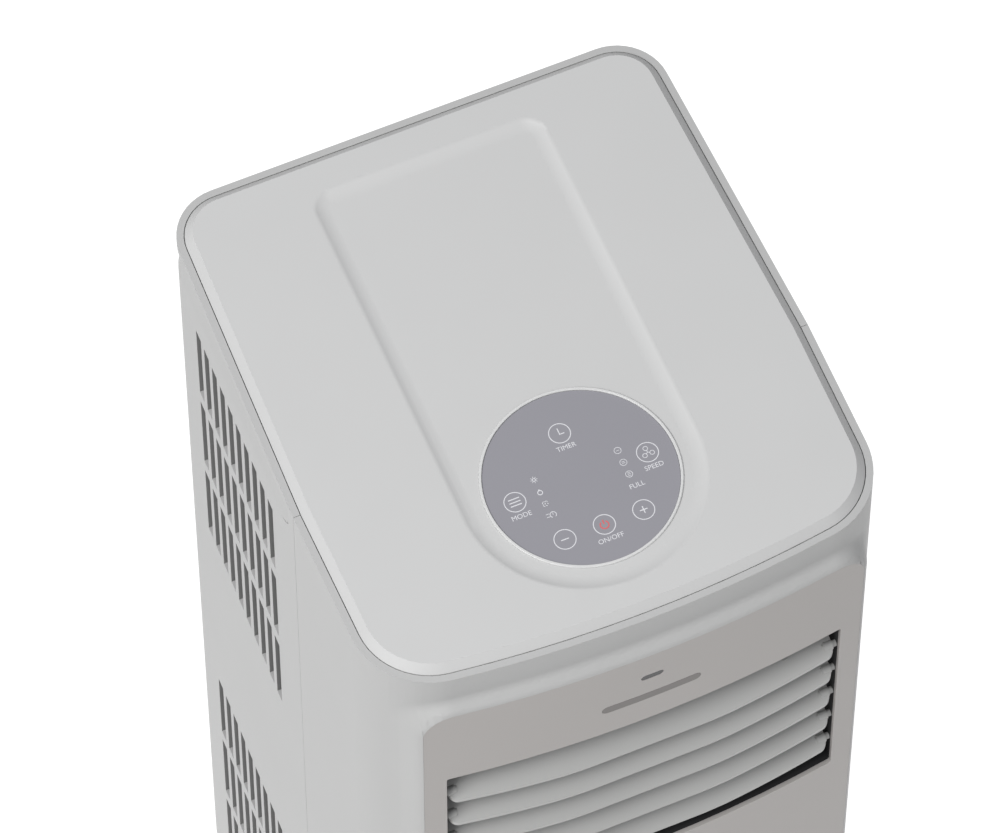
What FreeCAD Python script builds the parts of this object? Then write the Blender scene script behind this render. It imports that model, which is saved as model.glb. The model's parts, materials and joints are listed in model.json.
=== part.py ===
import FreeCAD, Part
import math
import os

# Portable air conditioner on casters, in millimetres. +Z is up, the front faces -Y and the
# origin lies on the floor, under the middle of the machine. Every piece is a body of its own.

V = FreeCAD.Vector

# Overall
height = 780.0            # floor to the flat top of the cover
width = 300.0             # across the parting line, the widest place
rear_width = 286.0        # between the sharp rear corners
front_width = 298.4       # where the front corners begin to turn
depth = 340.0             # front panel to back wall
parting_from_front = 136.0
corner_from_front = 59.0  # front panel to the start of the front corners
front_corner = 45.0
rear_corner = 30.0
bow_radius = 800.0        # plan radius of the front wall
wall = 2.5
seat_gap = 0.3            # between pieces that sit close without touching
skin_gap = 0.1            # behind the front panel, and round the small inlays
fit_gap = 0.05            # radial, shaft in bore
full_round = 0.01         # left of the flat between two rounded ends

# Base pan and casters
caster_height = 46.0
pan_band = 24.0           # visible height of the pan
pan_floor = 3.0
pan_upstand = 7.0         # upstand that centres the two housings
wheel_r = 19.0
wheel_width = 14.0
axle_r = 3.0
stem_r = 5.0
stem_length = 17.0
caster_trail = 12.0
caster_x = 108.0
caster_front_y = -112.0
caster_rear_y = 118.0
cheek = 2.5
cheek_gap = 0.6
fork_roof = 4.0
bridge_r = 15.0
eye_r = 8.0
neck_rise = 11.0          # wheel's axis to the fork's neck
axle_fit = 0.02
axle_proud = 0.8
socket_wall = 4.0
tyre_round = 2.5
dish_rim = 5.0
dish_depth = 3.0
dish_hub = 3.0

# Top cover and rim
rim_width = 4.0
cover_gap = 0.5           # thin line between rim and cover
cover_rise = 4.6          # the cover stands this far above the rim, with a 45 degree edge
cover_sink = 5.0          # depth of the cover's seat below the rim
cover_skin = 3.0
cover_rib = 2.0           # inside the shelf
shelf_width = 4.0
lip_height = 7.0
recess_half = 69.0
recess_depth = 2.4
recess_cove = 20.0        # radius of the hollow edge
recess_length = 217.0     # disc centre to the back end
recess_corner = 13.0      # at the crisp upper edge

# Control disc
disc_from_front = 97.0
disc_r = 53.0
disc_sink = 2.0
ring_width = 1.8
ring_rise = 1.0
ring_round = 0.45
disc_rise = 0.2
board_r = 47.0
board_thickness = 1.6
board_gap = 1.0
board_parts = ((0, 0, 24, 20, 2.5), (-27, 17, 14, 10, 6), (26, -20, 12, 8, 4))  # x, y, length, width, height

# Finger groove under the rim of the rear housing
groove_depth = 3.0
groove_height = 24.0
groove_start = 8.0        # behind the parting line
groove_curl = 14.0

# Front panel
panel_step = 6.0          # the panel stands proud of the front wall
panel_thickness = 2.5
panel_width = 257.0
panel_corner = 18.0       # of the panel's two top corners
ledge_top = 20.0          # below the rim
ledge_height = 11.0
panel_foot = 12.0         # above the pan
outlet_width = 232.0
outlet_height = 162.0
outlet_drop = 104.0       # rim to the outlet's top edge
outlet_corner = 1.5
frame_wall = 2.0
frame_depth = 57.0
badge_width = 58.0
badge_height = 7.0
badge_thickness = 0.8
badge_above = 27.0        # badge centre above the outlet
lens_width = 13.0
lens_height = 5.0
lens_above = 49.0
lens_sink = 0.2

# Louvers
louver_count = 5
louver_first = 26.8       # outlet top to the first pivot
louver_last = 22.8        # last pivot to the outlet's bottom
louver_chord = 30.0
louver_tilt = 25.0        # degrees below level at rest
louver_camber = 3.0
louver_edge = 1.4
louver_middle = 2.6
louver_set_back = 0.5     # front edges behind the panel's face
louver_end_gap = 2.0
louver_corner = 5.5
pivot_r = 2.0
pivot_root = 6.0          # of the pivot pin inside the blade
pivot_end_gap = 0.2
boss_wall = 0.8
boss_length = 5.0
crank_r = 22.0
crank_pin_r = 1.2
crank_play = 0.4
crank_x = 85.0
crank_width = 3.0
crank_half = 2.2          # of the crank's height
crank_pin_end = 1.5       # past the link
link_gap = 0.4
link_thickness = 2.5
link_rim = 1.0
link_end = 4.0
louver_swing = 30.0       # degrees either way
louver_motor_back = 30.0  # motor behind the pivots
louver_motor_r = 13.0
louver_motor_length = 16.0
motor_ear = (2.0, 8.0, 40.0)

# Side and rear grilles
slot_width = 7.5
slot_height = 69.0
slot_pitch = 12.4
row_pitch = 80.0
grille_from_back = 45.0   # back wall to the last of the side slots, at least
rear_columns = 13
grille_rows = 3
rear_rows = 2
grille_from_parting = 35.0
upper_grille_drop = 52.0  # rim to the upper grille
lower_grille_drop = 470.0

# Rear intake with its filter
intake_width = 216.0
intake_height = 226.0
intake_bottom = 500.0
intake_gap = 0.4
intake_thickness = 3.2
intake_columns = 16
intake_row_pitch = 70.0
intake_slot_height = 60.0
intake_set_in = 0.2       # grille's face behind the back wall's
finger_slot = 44.0
finger_height = 7.0
finger_depth = 1.6
pocket_wall = 2.5
pocket_ledge = 5.0
filter_frame_depth = 6.0
filter_bar = 5.0
mesh_thickness = 0.8
mesh_groove = 2.0         # depth of the groove that holds the mesh

# Deck and upper air path
deck_z = 452.0
deck_thickness = 3.0
deck_lip = 8.0
coil_depth = 36.0
coil_clear = 20.0         # coil to the rear intake wall
wing_share = 0.7          # a wing's thickness by the coil's depth
tube_pitch = 24.0
tube_r = 2.6
tube_bend = 7.0
evaporator_width = 252.0
evaporator_height = 270.0
wing_clear = 24.5         # fan scroll to the evaporator's wings
condenser_width = 256.0
condenser_height = 190.0
condenser_wing = 112.0
duct_depth = 68.0
scroll_depth = 72.0
scroll_r = 102.0
scroll_growth = 26.0
discharge_rise = 25.0     # fan's axis to the lower edge of the way out
scroll_foot = 40.0        # half width
scroll_foot_sink = 6.0    # of the foot into the scroll
fan_drop = 0.4            # fan's axis below the outlet's middle
fan_r = 95.0
fan_inlet_r = 74.0
fan_blades = 36
fan_gap = 8.0             # wheel's plate to the duct
shaft_reach = 40.0        # of the shaft into the motor
motor_r = 40.0
motor_length = 50.0
motor_chamfer = 3.0
motor_gap = 6.0
arm_half = 6.0            # of the width of a motor's arms
arm_root = 4.0            # of an arm inside the can
arm_clear = 19.3          # arm's end to the duct's wall
shaft_r = 4.0
shaft_clear = 4.0         # round a shaft where it passes a wall
plate_thickness = 2.0
rim_depth = 8.0
rim_thickness = 3.0
vane_depth = 14.5
vane_thickness = 1.2
vane_sink = 0.5           # vane's outer edge inside the wheel's rim
vane_angle = 25.0
hub_wall = 8.0
hub_length = 22.0
hub_cover = 2.0           # past the shaft's end
spiral_steps = 24

# Lower air path and exhaust
exhaust_below = 5.0       # deck to the collar's flange
exhaust_r = 70.0          # bore of the collar
collar_wall = 4.0
collar_length = 30.5
collar_flange = 8.0
flange_thickness = 3.0
exhaust_scroll_step = 6.0 # collar's bore to the scroll
exhaust_scroll_growth = 9.0
exhaust_scroll_depth = 65.0
exhaust_scroll_y = 20.0
exhaust_fan_gap = 6.0     # wheel to the scroll
exhaust_inlet_r = 44.0
spigot_gap = 1.0          # scroll's pipe to the collar's bore
hanger_size = (60.0, 20.0)
exhaust_wheel_gap = 8.0   # wheel's plate to the scroll's back
exhaust_rim_gap = 6.0
exhaust_shaft = 44.0      # in front of the scroll
exhaust_blades = 30
exhaust_motor_r = 34.0
exhaust_motor_length = 46.0

# Compressor and electrics
compressor_x = -42.0
compressor_from_front = 102.0
compressor_r = 58.0
compressor_height = 225.0
compressor_round = 16.0
skirt_inset = 4.0         # can to the skirt under it
compressor_foot_r = 9.0
compressor_foot_height = 12.0
foot_plate = 3.0
foot_neck = 8.0           # half width
foot_reach = 2.0          # foot's middle outside the can
grommet_neck_r = 5.7
grommet_proud = 2.0
stub_wall = 1.5
stub_rise = 8.0
stub_length = 12.0
accumulator_r = 22.0
accumulator_height = 150.0
accumulator_rise = 40.0
accumulator_round = 9.0
pipe_r = 4.0
pipe_clear = 2.0
pipe_bend = 11.0
pipe_rise = 22.0          # above what a pipe has to clear
riser_behind = 14.0       # parting line to the suction riser
capillary_r = 2.5
drier_r = 9.0
drier_rise = 60.0         # above the condenser
drier_length = 60.0
drier_round = 6.0
pipe_inset = 12.0         # from the coil's side
pipe_behind = 20.0        # a wing's front to the pipe
box_size = (86.0, 66.0, 96.0)
box_x = 86.0
box_from_front = 72.0
box_wall = 2.0
capacitor_r = 20.0
capacitor_height = 70.0
tab_place = 6.5
tab_thickness = 3.0
tab_width = 6.0
tab_length = 7.0
slinger_r = 30.0
slinger_rise = 6.0        # above the pan's floor
slinger_from_coil = 20.0
slinger_shaft_r = 2.0
slinger_shaft = 28.0      # into the motor
slinger_paddles = 8
paddle_size = (2.0, 8.0, 12.0)
slinger_gap = 6.0         # motor to disc
slinger_motor_r = 20.0
slinger_motor_length = 34.0
slinger_stand = (28.0, 26.0)
probe_x = 60.0
probe_y = -20.0
probe_base = (13.0, 8.0)  # half length and width
probe_foot = 3.0
probe_height = 34.0
probe_reach = 6.0         # electrodes before and beside the post
probe_r = 1.5

# Small fittings of the back
plug_r = 8.0
plug_head_r = 10.5
plug_length = 12.0
plug_head = 2.0
plug_slot = 12.0
plug_slot_width = 1.6
plug_slot_place = 1.8
plug_slot_depth = 0.8
boss_rim = 1.4
boss_end = 2.0
upper_drain_x = -60.0
upper_drain_above = 20.0  # above the deck
gland_r = 9.0
gland_bore = 3.8
gland_flange = 3.0
gland_rim = 2.5
gland_x = 98.0
gland_z = 112.0
screw_r = 1.8
screw_head_r = 4.0
screw_head = 2.0
screw_set_in = 0.3
screw_boss = 2.0          # round the screw's head
cross_long = 2.4
cross_half = 0.5
cross_depth = 1.2
screw_length = 14.0
screw_x = 106.0
screw_levels = (250.0, 480.0, 745.0)

# Places that follow from the sizes above
front_y = -depth / 2
back_y = depth / 2
parting_y = front_y + parting_from_front
body_front_y = front_y + panel_step
bow_y = body_front_y + bow_radius
panel_r = bow_radius + panel_step
rim_z = height - cover_rise
pan_z = caster_height
body_z = pan_z + pan_band
seat_z = rim_z - cover_sink
recess_z = height - recess_depth
disc_y = front_y + disc_from_front
ledge_z = rim_z - ledge_top
crease_z = ledge_z - ledge_height
panel_bottom = body_z + panel_foot
outlet_top = rim_z - outlet_drop
outlet_bottom = outlet_top - outlet_height
outlet_z = (outlet_top + outlet_bottom) / 2
louver_pitch = (outlet_height - louver_first - louver_last) / (louver_count - 1)
fan_z = outlet_z - fan_drop
pivot_y = front_y + louver_set_back + louver_chord / 2 * math.cos(math.radians(louver_tilt))
frame_back_y = front_y + frame_depth
frame_inner = (outlet_width + 2 * seat_gap, outlet_height + 2 * seat_gap)
duct_back_y = frame_back_y + duct_depth
scroll_back_y = duct_back_y + scroll_depth
deck_top = deck_z + deck_thickness
condenser_z = pan_z + stem_length + pan_floor      # on the caster sockets
coil_back_y = back_y - wall - coil_clear
evaporator_wing = coil_back_y - coil_depth - scroll_back_y - wing_clear
exhaust_z = deck_z - exhaust_r - collar_wall - collar_flange - exhaust_below
exhaust_scroll_r = exhaust_r - exhaust_scroll_step
exhaust_fan_r = exhaust_scroll_r - exhaust_fan_gap
compressor_y = body_front_y + compressor_from_front
box_y = body_front_y + box_from_front
lip_bottom = rim_z - lip_height
inner_back_y = back_y - wall


# ---- small helpers

def box(x0, x1, y0, y1, z0, z1):
    return Part.makeBox(x1 - x0, y1 - y0, z1 - z0, V(x0, y0, z0))


def rod(radius, start, end):
    return Part.makeCylinder(radius, (end - start).Length, start, end - start)


def joined(shapes):
    return shapes[0].multiFuse(shapes[1:]).removeSplitter() if len(shapes) > 1 else shapes[0]


def tube(outer, inner, start, end):
    return rod(outer, start, end).cut(rod(inner, start, end))


def edges_at(solid, places, tolerance=0.05):
    found = []
    for edge in solid.Edges:
        ends = edge.Vertexes
        if len(ends) < 2 or (ends[0].Point - ends[1].Point).cross(V(0, 0, 1)).Length > tolerance:
            continue
        if any(math.hypot(ends[0].X - x, ends[0].Y - y) < tolerance for x, y in places):
            found.append(edge)
    return found


def edges_level(solid, z, tolerance=0.01):
    return [e for e in solid.Edges if all(abs(v.Z - z) < tolerance for v in e.Vertexes)
            and abs(e.BoundBox.ZMax - e.BoundBox.ZMin) < tolerance]


# ---- plan outline of the machine

def inward(p, q, inset):
    along = (q - p).normalize()
    return p + V(-along.y, along.x, 0) * inset, along


def crossing(p, u, q, w):
    scale = u.x * w.y - u.y * w.x
    step = ((q.x - p.x) * w.y - (q.y - p.y) * w.x) / scale
    return p + u * step


def outline_corners(inset):
    side = V(width / 2, parting_y, 0)
    rear, rear_dir = inward(side, V(rear_width / 2, back_y, 0), inset)
    front, front_dir = inward(V(front_width / 2, front_y + corner_from_front, 0), side, inset)
    middle = crossing(rear, rear_dir, front, front_dir)
    back = crossing(rear, rear_dir, V(0, back_y - inset, 0), V(1, 0, 0))
    centre = V(0, bow_y, 0)
    reach = (centre - front).dot(front_dir)
    foot = front + front_dir * reach
    half = math.sqrt((bow_radius - inset) ** 2 - (centre - foot).Length ** 2)
    return foot - front_dir * half, middle, back


def plan_face(inset, z):
    nose, middle, back = outline_corners(inset)
    right = [V(p.x, p.y, z) for p in (nose, middle, back)]
    left = [V(-p.x, p.y, z) for p in (back, middle, nose)]
    ring = right + left
    edges = [Part.makeLine(a, b) for a, b in zip(ring, ring[1:])]
    edges.append(Part.Arc(ring[-1], V(0, body_front_y + inset, z), ring[0]).toShape())
    return Part.Face(Part.Wire(edges))


def prism(inset, z0, z1):
    nose, _, back = outline_corners(inset)
    solid = plan_face(inset, z0).extrude(V(0, 0, z1 - z0))
    fronts = edges_at(solid, [(nose.x, nose.y), (-nose.x, nose.y)])
    solid = solid.makeFillet(front_corner - inset, fronts)
    backs = edges_at(solid, [(back.x, back.y), (-back.x, back.y)])
    return solid.makeFillet(rear_corner - inset, backs)


def front_half():
    return box(-width, width, -depth, parting_y - seat_gap / 2, 0, 2 * height)


def rear_half():
    return box(-width, width, parting_y + seat_gap / 2, depth, 0, 2 * height)


def shell():
    """Both housings as one hollow wall with the cover's seat at the top."""
    hollow = prism(wall, body_z, lip_bottom - groove_height - wall)
    neck = prism(rim_width + shelf_width, body_z, rim_z)
    seat = prism(rim_width, seat_z, rim_z)
    return prism(0, body_z, rim_z).cut(hollow).cut(neck).cut(seat)


# ---- covers

def base_pan():
    pan = prism(0, pan_z, body_z).cut(prism(wall, pan_z + pan_floor, body_z))
    upstand = prism(wall + seat_gap, pan_z + pan_floor, body_z + pan_upstand)
    upstand = upstand.cut(prism(2 * wall + seat_gap, pan_z, body_z + pan_upstand))
    sockets = [rod(stem_r + socket_wall, V(x, y, pan_z), V(x, y, pan_z + stem_length + pan_floor))
               for x, y in caster_places()]
    pan = joined([pan, upstand] + sockets + [plug_boss(0, plug_z())])
    bores = [rod(stem_r + fit_gap, V(x, y, pan_z - 1), V(x, y, pan_z + stem_length))
             for x, y in caster_places()]
    return pan.cut(Part.makeCompound(bores)).cut(plug_hole(0, plug_z()))


def rear_housing():
    housing = shell().common(rear_half())
    fittings = [intake_pocket(), plug_boss(upper_drain_x, upper_drain_z())]
    fittings += [rod(screw_head_r + screw_boss, V(x, back_y - screw_length - screw_boss, z), V(x, back_y, z))
                 for x, z in screw_places()]
    housing = joined([housing] + fittings)
    housing = housing.cut(finger_groove())
    housing = housing.cut(Part.makeCompound(side_slots() + rear_slots()))
    housing = housing.cut(box(-intake_width / 2, intake_width / 2, inner_back_y - 1, back_y + 1,
                              intake_bottom, intake_bottom + intake_height))
    collar = exhaust_r + collar_wall + seat_gap
    housing = housing.cut(rod(collar, V(0, inner_back_y - 5, exhaust_z), V(0, back_y + 1, exhaust_z)))
    housing = housing.cut(rod(gland_r + fit_gap, V(gland_x, inner_back_y - 1, gland_z),
                              V(gland_x, back_y + 1, gland_z)))
    housing = housing.cut(plug_hole(upper_drain_x, upper_drain_z()))
    return housing.cut(Part.makeCompound([screw_hole(x, z) for x, z in screw_places()]))


def finger_groove():
    top = lip_bottom
    bottom = lip_bottom - groove_height
    upper = prism(groove_depth, top, top + 1)
    lower = prism(0, bottom, bottom + 1)
    core = Part.makeLoft([edges_wire(lower, bottom), edges_wire(upper, top)], True, True)
    band = box(-width, width, parting_y + groove_start, depth, bottom, top).cut(core)
    run = box(-width, width, parting_y + groove_start, depth, bottom, top)
    start = [e for e in run.Edges if all(abs(v.Y - parting_y - groove_start) < 0.01
                                         and abs(v.Z - bottom) < 0.01 for v in e.Vertexes)]
    return band.common(run.makeFillet(groove_curl, start))


def edges_wire(solid, z):
    face = [f for f in solid.Faces if abs(f.BoundBox.ZMax - z) < 0.01 and f.BoundBox.ZLength < 0.01][0]
    return face.OuterWire


def side_slots():
    slots = []
    first = parting_y + grille_from_parting
    columns = int((back_y - grille_from_back - slot_width - first) // slot_pitch) + 1
    for drop in (upper_grille_drop, lower_grille_drop):
        for row in range(grille_rows):
            for column in range(columns):
                y = first + column * slot_pitch
                z = rim_z - drop - row * row_pitch - slot_height
                slots.append(box(-width, width, y, y + slot_width, z, z + slot_height))
    return slots


def rear_slots():
    slots = []
    for row in range(rear_rows):
        for column in range(rear_columns):
            x = (column - (rear_columns - 1) / 2) * slot_pitch
            z = rim_z - lower_grille_drop - (grille_rows - 1 - row) * row_pitch - slot_height
            slots.append(box(x - slot_width / 2, x + slot_width / 2, inner_back_y - 5, back_y + 1,
                             z, z + slot_height))
    return slots


def intake_pocket():
    grow = pocket_wall
    front = inner_back_y - intake_thickness - filter_frame_depth - pocket_wall + wall
    outer = box(-intake_width / 2 - grow, intake_width / 2 + grow, front, inner_back_y,
                intake_bottom - grow, intake_bottom + intake_height + grow)
    room = box(-intake_width / 2, intake_width / 2, front + pocket_wall, back_y,
               intake_bottom, intake_bottom + intake_height)
    light = box(-intake_width / 2 + pocket_ledge, intake_width / 2 - pocket_ledge, front - 1, back_y,
                intake_bottom + pocket_ledge, intake_bottom + intake_height - pocket_ledge)
    return outer.cut(room).cut(light)


def bow_sector(r_inner, r_outer, half, z0, z1):
    """A bowed slab about the front wall's centre, ending at x = half either way."""
    slab = Part.makeCylinder(r_outer, z1 - z0, V(0, bow_y, z0))
    slab = slab.cut(Part.makeCylinder(r_inner, z1 - z0, V(0, bow_y, z0)))
    return slab.common(box(-half, half, -depth, 0, z0, z1))


def ledge():
    """The soft slope from the front wall out to the panel's top edge, as a bowed band."""
    r0 = bow_radius - wall
    r1 = bow_radius
    r2 = panel_r
    line = [V(r0, 0, crease_z), V(r2, 0, crease_z)]
    curve = Part.BezierCurve()
    curve.setPoles([V(r2, 0, crease_z), V(r2 - 0.6, 0, crease_z + 0.45 * ledge_height),
                    V(r1 + 0.2, 0, crease_z + 0.35 * ledge_height), V(r1, 0, ledge_z)])
    edges = [Part.makeLine(*line), curve.toShape(), Part.makeLine(V(r1, 0, ledge_z), V(r0, 0, ledge_z)),
             Part.makeLine(V(r0, 0, ledge_z), V(r0, 0, crease_z))]
    face = Part.Face(Part.Wire(edges))
    face.Placement = FreeCAD.Placement(V(0, bow_y, 0), FreeCAD.Rotation(V(0, 0, 1), -105))
    band = face.revolve(V(0, bow_y, 0), V(0, 0, 1), 30)
    return band.common(box(-panel_width / 2, panel_width / 2, -depth, 0, 0, height))


def panel_corners(r0, r1, radius):
    """What lies outside the panel's two rounded top corners, between two radii of the bow."""
    x = panel_width / 2 - panel_corner
    z = crease_z - panel_corner
    band = bow_sector(r0, r1, panel_width / 2, z, crease_z)
    band = band.cut(box(-x, x, -depth, 0, z, crease_z))
    rounds = [rod(radius, V(s * x, -depth, z), V(s * x, 0, z)) for s in (-1, 1)]
    return band.cut(Part.makeCompound(rounds))


def front_housing():
    housing = shell().common(front_half())
    half = panel_width / 2
    behind = panel_r - panel_thickness - skin_gap
    pad = bow_sector(bow_radius - wall, behind, half, panel_bottom, crease_z)
    pad = pad.cut(bow_sector(bow_radius - 2 * wall, behind - wall, half - wall,
                             panel_bottom + wall, crease_z - wall))
    pad = pad.cut(prism(wall, 0, 2 * height).cut(box(-half, half, -depth, bow_y, 0, height)))
    housing = housing.cut(bow_sector(bow_radius - 2 * wall, bow_radius + 1, half - wall,
                                     panel_bottom + wall, crease_z - wall))
    housing = joined([housing, pad, ledge(), panel_corners(bow_radius - wall, panel_r, panel_corner + skin_gap)])
    w = frame_inner[0] / 2 + frame_wall + seat_gap
    h = frame_inner[1] / 2 + frame_wall + seat_gap
    window = box(-w, w, -depth, frame_back_y, outlet_z - h, outlet_z + h)
    return housing.cut(window)


def rounded_window(w, h, y0, y1, z, corner):
    block = box(-w / 2, w / 2, y0, y1, z - h / 2, z + h / 2)
    return block.makeFillet(corner, [e for e in block.Edges if e.BoundBox.YLength > 1])


def front_panel():
    panel = bow_sector(panel_r - panel_thickness, panel_r, panel_width / 2, panel_bottom, crease_z)
    window = rounded_window(outlet_width, outlet_height, -depth, 0, outlet_z, outlet_corner)
    lens = rounded_window(lens_width, lens_height, -depth, 0, outlet_top + lens_above,
                          lens_height / 2 - full_round)
    panel = panel.cut(panel_corners(panel_r - 2 * panel_thickness, panel_r + 1, panel_corner + skin_gap / 2))
    return panel.cut(window).cut(lens).cut(badge_block(0, 1))


def receiver_lens():
    body = rounded_window(lens_width - 2 * skin_gap, lens_height - 2 * skin_gap, -depth, 0,
                          outlet_top + lens_above, lens_height / 2 - skin_gap - full_round)
    return body.common(bow_sector(panel_r - panel_thickness, panel_r - lens_sink, panel_width / 2,
                                  panel_bottom, crease_z))


def badge_block(gap, rise):
    """The blank name plate's shape, let into the panel's face: gap all round, rise past the face."""
    body = rounded_window(badge_width - 2 * gap, badge_height - 2 * gap, -depth, 0,
                          outlet_top + badge_above, badge_height / 2 - gap - full_round)
    return body.common(bow_sector(panel_r - badge_thickness, panel_r + rise, panel_width / 2, 0, height))


def top_cover():
    inset = rim_width + cover_gap
    cover = prism(inset, seat_z, height)
    cover = cover.makeChamfer(cover_rise, edges_level(cover, height))
    under = prism(rim_width + shelf_width + cover_rib, seat_z, recess_z - cover_skin)
    cover = cover.cut(under).cut(recess_tool())
    centre = V(0, disc_y, 0)
    seat = disc_r + ring_width + fit_gap
    floor = recess_z - disc_sink
    cover = cover.cut(rod(seat, centre + V(0, 0, floor), centre + V(0, 0, height)))
    return cover.cut(rod(board_r + board_gap, centre, centre + V(0, 0, height)))


def recess_tool():
    spill = recess_cove - math.sqrt(recess_cove ** 2 - (recess_cove - recess_depth) ** 2)
    half = recess_half + spill
    back = disc_y + recess_length + spill
    top = height + 3 * recess_cove
    straight = box(-half, half, disc_y, back, recess_z, top)
    corners = edges_at(straight, [(half, back), (-half, back)])
    straight = straight.makeFillet(recess_corner + spill, corners)
    tool = joined([straight, rod(half, V(0, disc_y, recess_z), V(0, disc_y, top))])
    return tool.makeFillet(recess_cove, edges_level(tool, recess_z))


def control_ring():
    floor = recess_z - disc_sink
    ring = tube(disc_r + ring_width, disc_r + skin_gap, V(0, disc_y, floor),
                V(0, disc_y, recess_z + ring_rise))
    return ring.makeFillet(ring_round, edges_level(ring, recess_z + ring_rise))


def control_disc():
    return rod(disc_r, V(0, disc_y, recess_z - disc_sink), V(0, disc_y, recess_z + disc_rise))


def control_board():
    top = recess_z - disc_sink
    board = rod(board_r, V(0, disc_y, top - board_thickness), V(0, disc_y, top))
    under = top - board_thickness
    chips = [box(x - length / 2, x + length / 2, disc_y + y - across / 2, disc_y + y + across / 2,
                 under - tall, under) for x, y, length, across, tall in board_parts]
    return joined([board] + chips)


# ---- outlet and louvers

def outlet_frame():
    w = frame_inner[0] / 2
    h = frame_inner[1] / 2
    t = frame_wall
    frame = box(-w - t, w + t, -depth, frame_back_y, outlet_z - h - t, outlet_z + h + t)
    frame = frame.cut(box(-w, w, -depth, frame_back_y, outlet_z - h, outlet_z + h))
    reach = panel_r - panel_thickness - skin_gap
    frame = frame.common(Part.makeCylinder(reach, height, V(0, bow_y, 0)))
    pins = [rod(pivot_r + fit_gap, V(-width, pivot_y, z), V(width, pivot_y, z)) for z in pivot_levels()]
    return frame.cut(Part.makeCompound(pins))


def pivot_levels():
    return [outlet_top - louver_first - i * louver_pitch for i in range(louver_count)]


def louver(z):
    tilt = math.radians(louver_tilt)
    ahead = V(0, -math.cos(tilt), -math.sin(tilt))
    up = V(0, -math.sin(tilt), math.cos(tilt))
    centre = V(0, pivot_y, z)

    def at(run, rise):
        return centre + ahead * run + up * rise

    half = louver_chord / 2
    edge = louver_edge / 2
    middle = louver_middle / 2
    top = [at(half, edge - louver_camber), at(0, middle), at(-half, edge - louver_camber)]
    under = [at(-half, -edge - louver_camber), at(0, -middle), at(half, -edge - louver_camber)]
    nose = at(half + edge, -louver_camber)
    tail = at(-half - edge, -louver_camber)
    edges = [Part.Arc(*top).toShape(), Part.Arc(top[2], tail, under[0]).toShape(),
             Part.Arc(*under).toShape(), Part.Arc(under[2], nose, top[0]).toShape()]
    reach = outlet_width / 2 - louver_end_gap
    face = Part.Face(Part.Wire(edges))
    face.translate(V(-reach, 0, 0))
    blade = face.extrude(V(2 * reach, 0, 0)).common(louver_plan(reach))
    grip = reach + louver_end_gap + seat_gap + frame_wall - pivot_end_gap
    pins = [rod(pivot_r, V(s * (reach - pivot_root), pivot_y, z), V(s * grip, pivot_y, z)) for s in (-1, 1)]
    bosses = [rod(pivot_r + boss_wall, V(s * (reach - boss_length), pivot_y, z), V(s * reach, pivot_y, z))
              for s in (-1, 1)]
    lug = box(crank_x, crank_x + crank_width, pivot_y, pivot_y + crank_r + crank_half,
              z - crank_half, z + crank_half)
    crank = rod(crank_pin_r, V(crank_x, pivot_y + crank_r, z),
                V(crank_x + crank_width + link_thickness + crank_pin_end, pivot_y + crank_r, z))
    return joined([blade] + pins + bosses + [lug, crank])


def louver_plan(reach):
    face_r = panel_r - louver_set_back
    front = bow_sector(face_r - 60, face_r, reach, outlet_bottom - 20, outlet_top + 20)
    corners = [e for e in front.Edges if e.BoundBox.ZLength > 100
               and e.Vertexes[0].Y < bow_y - math.sqrt(face_r ** 2 - reach ** 2) + 0.5]
    return front.makeFillet(louver_corner, corners)


def louver_link():
    travel = crank_r * (1 - math.cos(math.radians(louver_swing)))
    play = crank_pin_r + crank_play
    y = pivot_y + crank_r
    levels = pivot_levels()
    x0 = crank_x + crank_width + link_gap
    bar = box(x0, x0 + link_thickness, y - travel - play - link_rim, y + play + link_rim,
              levels[-1] - link_end, levels[0] + link_end)
    slots = [box(x0 - 1, x0 + link_thickness + 1, y - travel - play, y + play, z - play, z + play)
             for z in levels]
    return bar.cut(Part.makeCompound(slots))


def louver_motor():
    x = -(frame_inner[0] / 2 + frame_wall)
    z = pivot_levels()[1]
    y = pivot_y + louver_motor_back
    body = rod(louver_motor_r, V(x - louver_motor_length, y, z), V(x, y, z))
    thick, broad, tall = motor_ear
    ears = box(x - thick, x, y - broad / 2, y + broad / 2, z - tall / 2, z + tall / 2)
    return joined([body, ears])


# ---- upper air path

def air_duct():
    w = frame_inner[0] / 2 + frame_wall
    h = frame_inner[1] / 2 + frame_wall
    t = frame_wall
    duct = box(-w, w, frame_back_y, duct_back_y, outlet_z - h, outlet_z + h)
    duct = duct.cut(box(-w + t, w - t, frame_back_y, duct_back_y - t, outlet_z - h + t, outlet_z + h - t))
    duct = duct.cut(discharge(duct_back_y - 2 * t, duct_back_y + t))
    return duct.cut(rod(shaft_r + shaft_clear, V(0, frame_back_y, fan_z), V(0, depth, fan_z)))


def discharge(y0, y1):
    """The way from the scroll into the duct: the ring outside the wheel, above the duct's floor."""
    ring = tube(scroll_r + scroll_growth - 2 * frame_wall, fan_r + rim_thickness,
                V(0, y0, fan_z), V(0, y1, fan_z))
    w = frame_inner[0] / 2 - frame_wall
    return ring.common(box(0, w, y0, y1, fan_z + discharge_rise, outlet_top - 2 * frame_wall))


def spiral_face(x, y, z, radius, growth):
    points = []
    for i in range(spiral_steps + 1):
        turn = 2 * math.pi * i / spiral_steps
        r = radius + growth * i / spiral_steps
        points.append(V(x + r * math.cos(turn), y, z - r * math.sin(turn)))
    curve = Part.BSplineCurve()
    curve.interpolate(points)
    return Part.Face(Part.Wire([curve.toShape(), Part.makeLine(points[-1], points[0])]))


def scroll(z, y0, length, radius, growth):
    outer = spiral_face(0, y0, z, radius, growth).extrude(V(0, length, 0))
    inner = spiral_face(0, y0 + frame_wall, z, radius - frame_wall, growth)
    return outer.cut(inner.extrude(V(0, length - 2 * frame_wall, 0)))


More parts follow.
